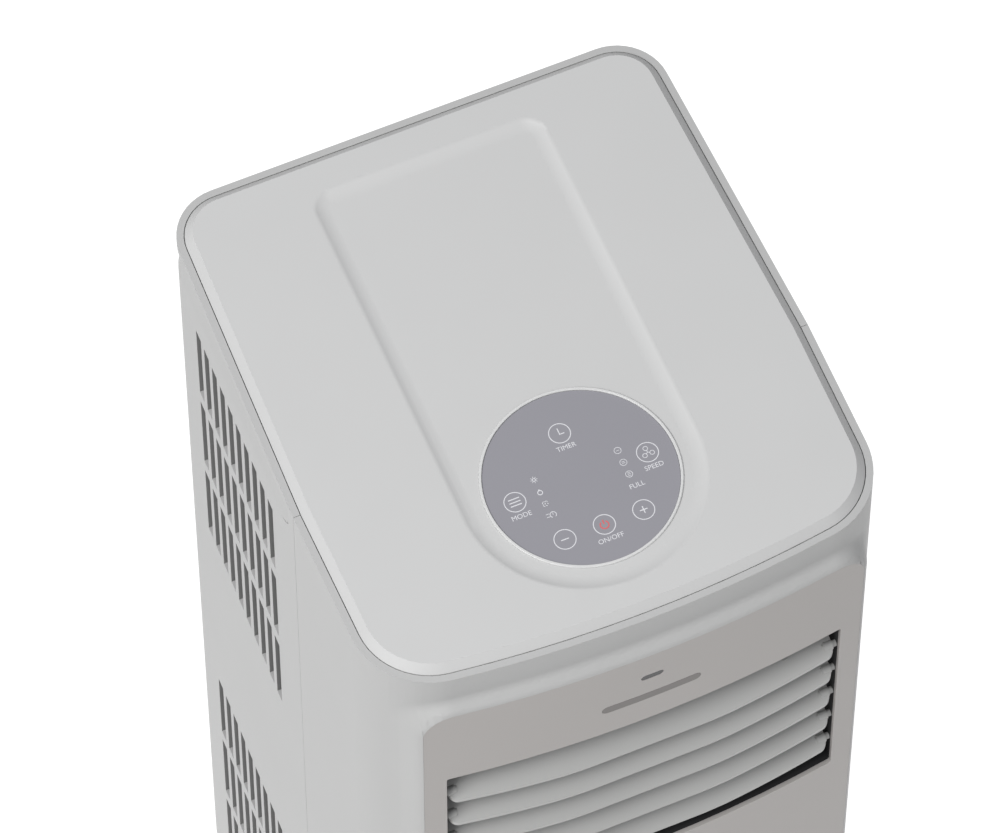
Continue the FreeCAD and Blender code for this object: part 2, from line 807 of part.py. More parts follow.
def fan_scroll():
    casing = scroll(fan_z, duct_back_y, scroll_depth, scroll_r, scroll_growth)
    casing = casing.cut(rod(fan_inlet_r, V(0, scroll_back_y - 5, fan_z), V(0, scroll_back_y + 1, fan_z)))
    casing = casing.cut(discharge(duct_back_y - 1, duct_back_y + 2 * frame_wall))
    foot = box(-scroll_foot, scroll_foot, duct_back_y, scroll_back_y, deck_top,
               fan_z - scroll_r - scroll_growth / 4 + scroll_foot_sink)
    foot = foot.cut(rod(scroll_r + scroll_growth / 4 - 1, V(0, duct_back_y, fan_z),
                        V(0, scroll_back_y, fan_z)))
    casing = joined([casing, foot])
    return casing.cut(rod(shaft_r + shaft_clear, V(0, duct_back_y - 1, fan_z), V(0, duct_back_y + 5, fan_z)))


def fan_wheel(z, plate_y, rim_y, radius, blades, shaft_to):
    """A forward-curved wheel: a plate, a ring, blades between them, and the shaft it turns on."""
    way = 1 if rim_y > plate_y else -1
    plate = rod(radius, V(0, plate_y, z), V(0, plate_y + plate_thickness * way, z))
    ring = tube(radius, radius - rim_depth, V(0, rim_y - rim_thickness * way, z), V(0, rim_y, z))
    y0, y1 = sorted((plate_y, rim_y))
    vanes = []
    for i in range(blades):
        vane = box(-vane_thickness / 2, vane_thickness / 2, y0, y1,
                   radius - vane_sink - vane_depth, radius - vane_sink)
        vane.rotate(V(0, 0, radius - vane_depth / 2), V(0, 1, 0), vane_angle)
        vane.rotate(V(0, 0, 0), V(0, 1, 0), 360.0 * i / blades)
        vane.translate(V(0, 0, z))
        vanes.append(vane)
    hub = rod(shaft_r + hub_wall, V(0, plate_y, z), V(0, plate_y + hub_length * way, z))
    shaft = rod(shaft_r, V(0, shaft_to, z), V(0, plate_y + (hub_length - hub_cover) * way, z))
    return joined([plate, ring, hub, shaft] + vanes)


def fan_motor(z, wall_y, length, radius, arm_reach):
    """The can of a fan motor, with three arms that carry it and a bore for the shaft."""
    y1 = wall_y - motor_gap
    y0 = y1 - length
    body = rod(radius, V(0, y0, z), V(0, y1, z))
    body = body.makeChamfer(motor_chamfer, [e for e in body.Edges if len(e.Vertexes) == 1])
    arms = []
    for i in range(3):
        arm = box(-arm_half, arm_half, wall_y - 2 * motor_gap, wall_y, radius - arm_root, arm_reach)
        arm.rotate(V(0, 0, 0), V(0, 1, 0), 60 + 120 * i)
        arm.translate(V(0, 0, z))
        arms.append(arm)
    body = joined([body] + arms)
    return body.cut(rod(shaft_r + fit_gap, V(0, y0 - 1, z), V(0, y1 + 1, z)))


def coil(width_over, tall, wing, z):
    """Fins and tubes bent to a C: across the back and along both sides."""
    half = width_over / 2
    y1 = coil_back_y
    y0 = y1 - coil_depth
    across = box(-half, half, y0, y1, z, z + tall)
    thick = coil_depth * wing_share
    wings = [box(s * half - (thick if s > 0 else 0), s * half + (thick if s < 0 else 0),
                 y0 - wing, y0, z, z + tall) for s in (-1, 1)]
    block = joined([across] + wings)
    bends = []
    for i in range(int(tall // tube_pitch)):
        for s in (-1, 1):
            level = z + (i + 0.5) * tube_pitch
            place = V(s * (half - thick / 2), y0 - wing, level)
            bend = Part.makeTorus(tube_bend, tube_r, place, V(1, 0, 0))
            bends.append(bend.common(box(-width, width, place.y - tube_pitch, place.y, z, z + tall)))
    return joined([block] + bends)


def evaporator():
    return coil(evaporator_width, evaporator_height, evaporator_wing, deck_top)


def condenser():
    return coil(condenser_width, condenser_height, condenser_wing, condenser_z)


def deck():
    plate = prism(wall + seat_gap, deck_z, deck_top)
    lip = prism(wall + seat_gap, deck_z, deck_top + deck_lip)
    lip = lip.cut(prism(wall + seat_gap + frame_wall, deck_z - 1, deck_top + deck_lip))
    plate = joined([plate, lip])
    holes = [rod(pipe_r + pipe_clear, V(x, y, deck_z - 1), V(x, y, deck_top + deck_lip + 1))
             for x, y in (suction_riser(), capillary_place())]
    tail = box(-width, width, coil_back_y - seat_gap, back_y, deck_top, deck_top + deck_lip)
    return plate.cut(Part.makeCompound(holes)).cut(tail)


def intake_grille():
    w = intake_width / 2 - intake_gap
    z0 = intake_bottom + intake_gap
    z1 = intake_bottom + intake_height - intake_gap
    plate = box(-w, w, back_y - intake_thickness, back_y - intake_set_in, z0, z1)
    slots = []
    rows = int((z1 - z0) // intake_row_pitch)
    for row in range(rows):
        for column in range(intake_columns):
            x = (column - (intake_columns - 1) / 2) * slot_pitch
            z = (z0 + z1) / 2 + (row - (rows - 1) / 2) * intake_row_pitch
            slots.append(box(x - slot_width / 2, x + slot_width / 2, 0, depth,
                             z - intake_slot_height / 2, z + intake_slot_height / 2))
    slots.append(box(-finger_slot / 2, finger_slot / 2, back_y - finger_depth, back_y,
                     z1 - finger_height, z1))
    return plate.cut(Part.makeCompound(slots))


def filter_frame():
    w = intake_width / 2 - intake_gap
    z0 = intake_bottom + intake_gap
    z1 = intake_bottom + intake_height - intake_gap
    y1 = back_y - intake_thickness
    y0 = y1 - filter_frame_depth + seat_gap
    frame = box(-w, w, y0, y1, z0, z1)
    lights = []
    pane_w = (2 * w - 4 * filter_bar) / 3
    pane_h = (z1 - z0 - 4 * filter_bar) / 3
    for i in range(3):
        for j in range(3):
            x = -w + filter_bar + i * (pane_w + filter_bar)
            z = z0 + filter_bar + j * (pane_h + filter_bar)
            lights.append(box(x, x + pane_w, y0 - 1, y1 + 1, z, z + pane_h))
    groove = (y0 + y1) / 2
    gap = mesh_thickness / 2
    inside = box(-w + mesh_groove, w - mesh_groove, groove - gap, groove + gap,
                 z0 + mesh_groove, z1 - mesh_groove)
    return frame.cut(Part.makeCompound(lights)).cut(inside)


def filter_mesh():
    inset = intake_gap + mesh_groove + 2 * skin_gap
    w = intake_width / 2 - inset
    y1 = back_y - intake_thickness
    middle = y1 - (filter_frame_depth - seat_gap) / 2
    gap = mesh_thickness / 2 - skin_gap
    return box(-w, w, middle - gap, middle + gap, intake_bottom + inset,
               intake_bottom + intake_height - inset)


# ---- lower air path

def exhaust_scroll():
    y0 = exhaust_scroll_y
    y1 = y0 + exhaust_scroll_depth
    casing = scroll(exhaust_z, y0, exhaust_scroll_depth, exhaust_scroll_r, exhaust_scroll_growth)
    pipe_end = inner_back_y - collar_length + wall - seat_gap
    spigot = exhaust_r - spigot_gap
    pipe = tube(spigot, spigot - frame_wall, V(0, y1 - frame_wall, exhaust_z), V(0, pipe_end, exhaust_z))
    across, along = hanger_size
    hanger = box(-across / 2, across / 2, y0, y0 + along, exhaust_z + exhaust_scroll_r, deck_z)
    hanger = hanger.cut(rod(exhaust_scroll_r, V(0, y0, exhaust_z), V(0, y1, exhaust_z)))
    casing = joined([casing, pipe, hanger])
    casing = casing.cut(rod(exhaust_inlet_r, V(0, y0 - 1, exhaust_z), V(0, y0 + 5, exhaust_z)))
    way_out = exhaust_scroll_r - 2 * frame_wall
    return casing.cut(rod(way_out, V(0, y1 - 5, exhaust_z), V(0, y1 + 1, exhaust_z)))


def exhaust_collar():
    y0 = inner_back_y - collar_length + wall
    outer = exhaust_r + collar_wall
    collar = rod(outer, V(0, y0, exhaust_z), V(0, back_y, exhaust_z))
    flange = rod(outer + collar_flange, V(0, inner_back_y - flange_thickness, exhaust_z),
                 V(0, inner_back_y, exhaust_z))
    collar = joined([collar, flange])
    return collar.cut(rod(exhaust_r, V(0, y0 - 1, exhaust_z), V(0, back_y + 1, exhaust_z)))


# ---- refrigeration and electrics

def compressor():
    z0 = pan_z + pan_floor + compressor_foot_height
    centre = V(compressor_x, compressor_y, z0)
    can = rod(compressor_r, centre + V(0, 0, foot_plate), centre + V(0, 0, compressor_height))
    can = can.makeFillet(compressor_round, [e for e in can.Edges if len(e.Vertexes) == 1])
    plate = rod(compressor_r - skirt_inset, centre, centre + V(0, 0, compressor_round + foot_plate))
    ears = [rod(compressor_foot_r + foot_plate, foot, foot + V(0, 0, foot_plate))
            for foot in compressor_feet(z0)]
    necks = [box(foot.x - foot_neck, foot.x + foot_neck, foot.y - foot_neck, foot.y + foot_neck,
                 z0, z0 + foot_plate) for foot in compressor_feet(z0)]
    stub = rod(pipe_r + stub_wall, discharge_stub() - V(0, 0, stub_length), discharge_stub())
    body = joined([can, plate] + ears + necks + [stub])
    bores = [rod(grommet_neck_r + seat_gap, foot - V(0, 0, 1), foot + V(0, 0, foot_plate + 1))
             for foot in compressor_feet(z0)]
    return body.cut(Part.makeCompound(bores))


def discharge_stub():
    top = pan_z + pan_floor + compressor_foot_height + compressor_height
    return V(compressor_x, compressor_y, top + stub_rise)


def compressor_feet(z):
    reach = compressor_r + foot_reach
    feet = []
    for turn in (90, 210, 330):
        angle = math.radians(turn)
        feet.append(V(compressor_x + reach * math.cos(angle), compressor_y + reach * math.sin(angle), z))
    return feet


def compressor_grommets():
    z0 = pan_z + pan_floor
    feet = []
    for foot in compressor_feet(z0):
        low = rod(compressor_foot_r, foot, foot + V(0, 0, compressor_foot_height))
        neck = rod(grommet_neck_r, foot, foot + V(0, 0, compressor_foot_height + foot_plate + grommet_proud))
        feet.append(joined([low, neck]))
    return Part.makeCompound(feet)


def accumulator():
    centre = V(*accumulator_place(), 0)
    top = accumulator_top()
    can = rod(accumulator_r, centre + V(0, 0, top - accumulator_height), centre + V(0, 0, top))
    return can.makeFillet(accumulator_round, [e for e in can.Edges if len(e.Vertexes) == 1])


def accumulator_place():
    return compressor_x + compressor_r + accumulator_r + seat_gap, compressor_y


def accumulator_top():
    return pan_z + pan_floor + compressor_foot_height + accumulator_rise + accumulator_height


def suction_riser():
    return evaporator_width / 2 - pipe_r, parting_y + riser_behind


def capillary_place():
    return -(condenser_width / 2 - pipe_inset), coil_back_y - coil_depth - evaporator_wing + pipe_behind


def pipe(points, radius, bend):
    """A bent tube along straight runs with an arc of radius bend at each turn."""
    edges = []
    start = points[0]
    for before, here, after in zip(points, points[1:], points[2:]):
        a = (before - here).normalize()
        b = (after - here).normalize()
        half = math.acos(max(-1, min(1, a.dot(b)))) / 2
        back = bend / math.tan(half)
        centre = here + (a + b).normalize() * (bend / math.sin(half))
        middle = centre + (here - centre).normalize() * bend
        edges.append(Part.makeLine(start, here + a * back))
        edges.append(Part.Arc(here + a * back, middle, here + b * back).toShape())
        start = here + b * back
    edges.append(Part.makeLine(start, points[-1]))
    circle = Part.Wire(Part.makeCircle(radius, points[0], points[1] - points[0]))
    return Part.Wire(edges).makePipeShell([circle], True, False)


def discharge_pipe():
    top = discharge_stub()
    x = -(condenser_width / 2 - pipe_inset)
    y = coil_back_y - coil_depth - condenser_wing + pipe_behind
    level = top.z + pipe_rise
    coil_top = condenser_z + condenser_height
    return pipe([top, V(top.x, top.y, level), V(x, top.y, level), V(x, y, level), V(x, y, coil_top)],
                pipe_r, pipe_bend)


def suction_pipe():
    x, y = accumulator_place()
    rx, ry = suction_riser()
    low = accumulator_top()
    wing_y = coil_back_y - coil_depth - evaporator_wing
    level = low + pipe_rise
    high = deck_top + deck_lip + pipe_rise
    return pipe([V(x, y, low), V(x, y, level), V(rx, ry, level), V(rx, ry, high), V(rx, wing_y, high)],
                pipe_r, pipe_bend)


def capillary():
    x, y = capillary_place()
    low = condenser_z + condenser_height
    line = rod(capillary_r, V(x, y, low), V(x, y, deck_top))
    drier = rod(drier_r, V(x, y, low + drier_rise), V(x, y, low + drier_rise + drier_length))
    drier = drier.makeFillet(drier_round, [e for e in drier.Edges if len(e.Vertexes) == 1])
    return joined([line, drier])


def electrics_box():
    w, d, h = box_size
    outer = box(box_x - w / 2, box_x + w / 2, box_y - d / 2, box_y + d / 2, deck_z - h, deck_z)
    t = box_wall
    inner = box(box_x - w / 2 + t, box_x + w / 2 - t, box_y - d / 2 + t, box_y + d / 2 - t,
                deck_z - h + t, deck_z - t)
    return outer.cut(inner)


def capacitor():
    w, d, _ = box_size
    x = box_x - w / 2 - capacitor_r - seat_gap
    y = box_y
    low = deck_z - capacitor_height
    can = rod(capacitor_r, V(x, y, low), V(x, y, deck_z))
    tabs = [box(x + s * tab_place - tab_thickness / 2, x + s * tab_place + tab_thickness / 2,
                y - tab_width / 2, y + tab_width / 2, low - tab_length, low) for s in (-1, 1)]
    return joined([can] + tabs)


def slinger_motor():
    y, z = slinger_place()
    body = rod(slinger_motor_r, V(0, y - slinger_gap - slinger_motor_length, z), V(0, y - slinger_gap, z))
    across, along = slinger_stand
    middle = y - slinger_gap - slinger_motor_length / 2
    stand = box(-across / 2, across / 2, middle - along / 2, middle + along / 2, pan_z + pan_floor, z)
    bore = rod(slinger_shaft_r + fit_gap, V(0, y - slinger_shaft - fit_gap, z), V(0, y, z))
    return joined([body, stand]).cut(bore)


def slinger_place():
    return coil_back_y - coil_depth - slinger_from_coil, pan_z + pan_floor + slinger_r + slinger_rise


def slinger_wheel():
    y, z = slinger_place()
    disc = rod(slinger_r, V(0, y, z), V(0, y + plate_thickness, z))
    thick, wide, long = paddle_size
    paddles = []
    for i in range(slinger_paddles):
        paddle = box(-thick / 2, thick / 2, y, y + wide, slinger_r - long, slinger_r)
        paddle.rotate(V(0, 0, 0), V(0, 1, 0), 360 / slinger_paddles * i)
        paddle.translate(V(0, 0, z))
        paddles.append(paddle)
    shaft = rod(slinger_shaft_r, V(0, y - slinger_shaft, z), V(0, y + 2 * plate_thickness, z))
    return joined([disc, shaft] + paddles)


def level_probe():
    """Two electrodes on a foot, which tell when the pan is full."""
    z = pan_z + pan_floor
    x = probe_x
    y = probe_y
    half_x, half_y = probe_base
    base = box(x - half_x, x + half_x, y - half_y, y + half_y, z, z + probe_foot)
    post = box(x - half_x + probe_foot, x + half_x - probe_foot, y - probe_foot, y + probe_foot,
               z, z + probe_height)
    ends = (z + 2 * probe_foot, z + probe_height - probe_foot)
    front = y - probe_reach
    pins = [rod(probe_r, V(x + s * probe_reach, front, ends[0]), V(x + s * probe_reach, front, ends[1]))
            for s in (-1, 1)]
    holds = [box(x + s * probe_reach - probe_r, x + s * probe_reach + probe_r, front, y,
                 ends[1] - 2 * probe_foot, ends[1] - probe_foot) for s in (-1, 1)]
    return joined([base, post] + pins + holds)


# ---- small fittings

def plug_z():
    return pan_z + pan_band / 2


def upper_drain_z():
    return deck_top + upper_drain_above


def plug_boss(x, z):
    reach = plug_head_r + boss_rim if z > body_z else pan_band / 2
    return box(x - reach, x + reach, inner_back_y - plug_length - boss_end, inner_back_y,
               z - reach, z + reach)


def plug_hole(x, z):
    hole = rod(plug_r, V(x, inner_back_y - plug_length - boss_end - 1, z), V(x, back_y + 1, z))
    return hole.fuse(rod(plug_head_r + seat_gap, V(x, back_y - plug_head, z), V(x, back_y + 1, z)))


def drain_plug(x, z):
    stem = rod(plug_r - fit_gap, V(x, inner_back_y - plug_length, z), V(x, back_y - plug_head, z))
    head = rod(plug_head_r, V(x, back_y - plug_head, z), V(x, back_y, z))
    slots = [box(x - plug_slot / 2, x + plug_slot / 2, back_y - plug_slot_depth, back_y + 1,
                 z + s * plug_slot_place - plug_slot_width / 2, z + s * plug_slot_place + plug_slot_width / 2)
             for s in (-1, 1)]
    return joined([stem, head]).cut(Part.makeCompound(slots))


def cord_gland():
    start = V(gland_x, inner_back_y - gland_flange, gland_z)
    neck = rod(gland_r, start, V(gland_x, back_y, gland_z))
    inside = rod(gland_r + gland_rim, start, V(gland_x, inner_back_y, gland_z))
    bore = rod(gland_bore, start - V(0, 1, 0), V(gland_x, back_y + 1, gland_z))
    return joined([neck, inside]).cut(bore)


def screw_places():
    return [(s * screw_x, z) for z in screw_levels for s in (-1, 1)]


def screw_hole(x, z):
    hole = rod(screw_r + fit_gap, V(x, back_y - screw_length - 1, z), V(x, back_y + 1, z))
    return hole.fuse(rod(screw_head_r + seat_gap, V(x, back_y - screw_head, z), V(x, back_y + 1, z)))


def housing_screws():
    screws = []
    for x, z in screw_places():
        shank = rod(screw_r, V(x, back_y - screw_length, z), V(x, back_y - screw_head, z))
        head = rod(screw_head_r, V(x, back_y - screw_head, z), V(x, back_y - screw_set_in, z))
        cross = [box(x - a, x + a, back_y - cross_depth, back_y, z - b, z + b)
                 for a, b in ((cross_long, cross_half), (cross_half, cross_long))]
        screws.append(joined([shank, head]).cut(Part.makeCompound(cross)))
    return Part.makeCompound(screws)


# ---- casters

def caster_places():
    return [(s * caster_x, y) for y in (caster_front_y, caster_rear_y) for s in (-1, 1)]


def caster_fork(x, y):
    top = caster_height - seat_gap
    hub_y = y + caster_trail
    inner = wheel_width / 2 + cheek_gap
    outer = inner + cheek
    bridge = rod(bridge_r, V(x, y, top - fork_roof), V(x, y, top))
    stem = rod(stem_r, V(x, y, top - cheek), V(x, y, caster_height + stem_length - 1))
    cheeks = []
    for s in (-1, 1):
        x0, x1 = sorted((x + s * inner, x + s * outer))
        eye = rod(eye_r, V(x0, hub_y, wheel_r), V(x1, hub_y, wheel_r))
        web = box(x0, x1, hub_y - eye_r, hub_y + eye_r, wheel_r, wheel_r + neck_rise + 1)
        neck = box(x0, x1, y - eye_r, hub_y + eye_r, wheel_r + neck_rise, top - cheek)
        cheeks += [eye, web, neck]
    roof = box(x - outer, x + outer, y - eye_r, hub_y + eye_r, top - fork_roof, top - 1)
    fork = joined([bridge, stem, roof] + cheeks)
    axle = rod(axle_r + axle_fit, V(x - outer - 1, hub_y, wheel_r), V(x + outer + 1, hub_y, wheel_r))
    return fork.cut(axle)


def caster_wheel(x, y):
    a = V(x - wheel_width / 2, y + caster_trail, wheel_r)
    b = V(x + wheel_width / 2, y + caster_trail, wheel_r)
    wheel = rod(wheel_r, a, b)
    wheel = wheel.makeFillet(tyre_round, [e for e in wheel.Edges if len(e.Vertexes) == 1])
    for end, way in ((a, 1), (b, -1)):
        dish = tube(wheel_r - dish_rim, axle_r + dish_hub, end, end + V(dish_depth * way, 0, 0))
        wheel = wheel.cut(dish)
    return wheel.cut(rod(axle_r + fit_gap, a, b))


def caster_axle(x, y):
    reach = wheel_width / 2 + cheek_gap + cheek + axle_proud
    return rod(axle_r, V(x - reach, y + caster_trail, wheel_r), V(x + reach, y + caster_trail, wheel_r))


# ---- every piece under its own name

def pieces():
    parts = {
        "base_pan": base_pan(),
        "rear_housing": rear_housing(),
        "front_housing": front_housing(),
        "front_panel": front_panel(),
        "receiver_lens": receiver_lens(),
        "name_badge": badge_block(fit_gap, 0),
        "top_cover": top_cover(),
        "control_ring": control_ring(),
        "control_disc": control_disc(),
        "control_board": control_board(),
        "outlet_frame": outlet_frame(),
        "louver_link": louver_link(),
        "louver_motor": louver_motor(),
        "air_duct": air_duct(),
        "fan_scroll": fan_scroll(),
        "fan_wheel": fan_wheel(fan_z, duct_back_y + fan_gap, scroll_back_y - motor_gap, fan_r, fan_blades,
                               duct_back_y - frame_wall - shaft_reach),
        "fan_motor": fan_motor(fan_z, duct_back_y - frame_wall, motor_length, motor_r,
                               frame_inner[1] / 2 - arm_clear),
        "evaporator": evaporator(),
        "condenser": condenser(),
        "deck": deck(),
        "intake_grille": intake_grille(),
        "filter_frame": filter_frame(),
        "filter_mesh": filter_mesh(),
        "exhaust_scroll": exhaust_scroll(),
        "exhaust_wheel": fan_wheel(exhaust_z, exhaust_scroll_y + exhaust_scroll_depth - exhaust_wheel_gap,
                                   exhaust_scroll_y + exhaust_rim_gap, exhaust_fan_r, exhaust_blades,
                                   exhaust_scroll_y - exhaust_shaft),
        "exhaust_motor": fan_motor(exhaust_z, exhaust_scroll_y, exhaust_motor_length, exhaust_motor_r,
                                   exhaust_scroll_r - exhaust_fan_gap),
        "exhaust_collar": exhaust_collar(),
        "compressor": compressor(),
        "compressor_grommets": compressor_grommets(),
        "accumulator": accumulator(),
        "discharge_pipe": discharge_pipe(),
        "suction_pipe": suction_pipe(),
        "capillary": capillary(),
        "electrics_box": electrics_box(),
        "capacitor": capacitor(),
        "slinger_motor": slinger_motor(),
        "slinger_wheel": slinger_wheel(),
        "level_probe": level_probe(),
        "upper_drain_plug": drain_plug(upper_drain_x, upper_drain_z()),
        "lower_drain_plug": drain_plug(0, plug_z()),
        "cord_gland": cord_gland(),
        "housing_screws": housing_screws(),
    }
    for i, z in enumerate(pivot_levels(), 1):
        parts[f"louver_{i}"] = louver(z)
    for name, (x, y) in zip(("front_left", "front_right", "rear_left", "rear_right"), caster_places()):
        parts[f"caster_fork_{name}"] = caster_fork(x, y)
        parts[f"caster_wheel_{name}"] = caster_wheel(x, y)
        parts[f"caster_axle_{name}"] = caster_axle(x, y)
    return parts


def main():
    os.makedirs("parts", exist_ok=True)
    for name, shape in pieces().items():
        shape.exportStep(f"parts/{name}.step")
        print(name, len(shape.Solids), round(shape.Volume / 1000, 1), shape.isValid())


main()
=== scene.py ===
import json
import math

import bmesh
import bpy
from mathutils import Matrix, Vector
from mathutils.geometry import interpolate_bezier

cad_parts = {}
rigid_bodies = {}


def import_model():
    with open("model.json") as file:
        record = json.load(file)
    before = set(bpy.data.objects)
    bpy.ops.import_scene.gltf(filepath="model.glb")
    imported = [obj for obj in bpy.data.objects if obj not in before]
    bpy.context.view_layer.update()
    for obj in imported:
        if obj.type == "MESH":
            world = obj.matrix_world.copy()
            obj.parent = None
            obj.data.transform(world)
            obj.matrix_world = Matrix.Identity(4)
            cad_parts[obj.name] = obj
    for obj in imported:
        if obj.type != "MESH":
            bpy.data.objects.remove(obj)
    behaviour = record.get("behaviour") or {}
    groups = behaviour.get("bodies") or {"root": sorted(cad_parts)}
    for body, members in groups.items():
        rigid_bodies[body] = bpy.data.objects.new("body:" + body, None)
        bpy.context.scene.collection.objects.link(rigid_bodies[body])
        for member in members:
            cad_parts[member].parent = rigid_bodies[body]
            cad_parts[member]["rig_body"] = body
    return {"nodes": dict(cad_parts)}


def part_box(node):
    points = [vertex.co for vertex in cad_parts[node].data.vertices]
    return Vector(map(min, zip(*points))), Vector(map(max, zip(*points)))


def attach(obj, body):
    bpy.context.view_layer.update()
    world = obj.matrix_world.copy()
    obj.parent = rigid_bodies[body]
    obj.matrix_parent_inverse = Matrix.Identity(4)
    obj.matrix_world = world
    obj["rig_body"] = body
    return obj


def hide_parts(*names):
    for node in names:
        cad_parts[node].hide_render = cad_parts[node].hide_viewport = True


# Looks of a portable air conditioner on casters. Metres, floor at z = 0, front towards -Y.

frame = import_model()
nodes = frame["nodes"]
mm = 0.001
scene = bpy.context.scene
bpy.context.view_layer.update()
print("frame loaded with", len(nodes), "nodes")


# camera, lights and floor

view = {
    "azimuth": -23.2,      # degrees round from straight in front
    "elevation": 61.2,
    "distance": 4.463,
    "aim": (-0.0249, -0.0213, 0.7764),
    "lens": 300.2,
    "sensor": 36.0,
    "clip": 60,
}


def awayFrom(azimuth, elevation):
    a = math.radians(azimuth)
    e = math.radians(elevation)
    return Vector((math.sin(a) * math.cos(e), -math.cos(a) * math.cos(e), math.sin(e)))


def addCamera():
    data = bpy.data.cameras.new("camera")
    data.lens = view["lens"]
    data.sensor_width = view["sensor"]
    data.clip_end = view["clip"]
    camera = bpy.data.objects.new("camera", data)
    back = awayFrom(view["azimuth"], view["elevation"])
    camera.location = Vector(view["aim"]) + back * view["distance"]
    camera.rotation_mode = "QUATERNION"
    camera.rotation_quaternion = (-back).to_track_quat("-Z", "Y")
    scene.collection.objects.link(camera)
    scene.camera = camera


studio = {
    "skyToward": (-0.2, -0.1, 0.97),    # the room is brightest overhead and to the left
    "skyBright": 0.7,
    "skyDim": 0.22,             # at the horizon
    "skyColour": "#fbfcff",
    "key": {"azimuth": -64, "elevation": 53, "distance": 4.0, "size": 1.8, "watts": 113},
    "aim": (0, 0, 0.6),
    "floorRadius": 40.0,
    "poolCentre": (0.15, 0.35, 0),
    "poolInner": 0.47,           # the floor glows evenly under the machine and fades a little further out
    "poolOuter": 1.9,
    "poolGlow": 1.0,
    "floorGlow": 0.55,
}


def softbox(name, place):
    data = bpy.data.lights.new(name, "AREA")
    data.shape = "SQUARE"
    data.size = place["size"]
    data.energy = place["watts"]
    lamp = bpy.data.objects.new(name, data)
    away = awayFrom(place["azimuth"], place["elevation"])
    lamp.location = Vector(studio["aim"]) + away * place["distance"]
    lamp.rotation_mode = "QUATERNION"
    lamp.rotation_quaternion = (-away).to_track_quat("-Z", "Y")
    lamp.visible_camera = False
    scene.collection.objects.link(lamp)


def linear(code):
    values = [int(code[i:i + 2], 16) / 255 for i in (1, 3, 5)]
    return [v / 12.92 if v <= 0.04045 else ((v + 0.055) / 1.055) ** 2.4 for v in values] + [1.0]


def addNode(tree, kind, inputs=None, **settings):
    node = tree.nodes.new("ShaderNode" + kind)
    for name, value in settings.items():
        setattr(node, name, value)
    for name, value in (inputs or {}).items():
        if isinstance(value, bpy.types.NodeSocket):
            tree.links.new(value, node.inputs[name])
        else:
            node.inputs[name].default_value = value
    return node


def newMaterial(name):
    material = bpy.data.materials.new(name)
    material.use_nodes = True
    tree = material.node_tree
    tree.nodes.clear()
    return material, tree


acrylicFloor = {
    # white acrylic sheet over a light box, so that shadows on it stay pale
    "name": "backlitAcrylicFloor",
    "colour": "#7c7c7c",
    "light": "#ffffff",
    "rough": 0.6,
    "specular": 0.1,
}


def addFloor():
    mesh = bpy.data.meshes.new("floor")
    work = bmesh.new()
    bmesh.ops.create_circle(work, cap_ends=True, radius=studio["floorRadius"], segments=64)
    work.to_mesh(mesh)
    work.free()
    floor = bpy.data.objects.new("floor", mesh)
    scene.collection.objects.link(floor)
    material, tree = newMaterial(acrylicFloor["name"])
    place = addNode(tree, "TexCoord").outputs["Object"]
    reach = addNode(tree, "VectorMath", {0: place, 1: studio["poolCentre"]}, operation="DISTANCE")
    glow = addNode(tree, "MapRange", {
        "Value": reach.outputs["Value"], "From Min": studio["poolInner"], "From Max": studio["poolOuter"],
        "To Min": studio["poolGlow"], "To Max": studio["floorGlow"]}, interpolation_type="SMOOTHSTEP")
    shade = addNode(tree, "BsdfPrincipled", {
        "Base Color": linear(acrylicFloor["colour"]), "Roughness": acrylicFloor["rough"],
        "Specular IOR Level": acrylicFloor["specular"],
        "Emission Color": linear(acrylicFloor["light"]), "Emission Strength": glow.outputs[0]})
    addNode(tree, "OutputMaterial", {"Surface": shade.outputs[0]})
    mesh.materials.append(material)


def addRoom():
    world = bpy.data.worlds.new("room")
    world.use_nodes = True
    tree = world.node_tree
    tree.nodes.clear()
    along = addNode(tree, "VectorMath", {
        0: addNode(tree, "TexCoord").outputs["Generated"], 1: studio["skyToward"]}, operation="DOT_PRODUCT")
    sky = addNode(tree, "MapRange", {
        "Value": along.outputs["Value"], "From Min": 0, "From Max": 1,
        "To Min": studio["skyDim"], "To Max": studio["skyBright"]})
    shade = addNode(tree, "Background", {"Color": linear(studio["skyColour"]), "Strength": sky.outputs[0]})
    addNode(tree, "OutputWorld", {"Surface": shade.outputs[0]})
    scene.world = world
    scene.view_settings.view_transform = "Standard"
    softbox("keySoftbox", studio["key"])
    addFloor()


addCamera()
addRoom()
print("camera, lights and floor")
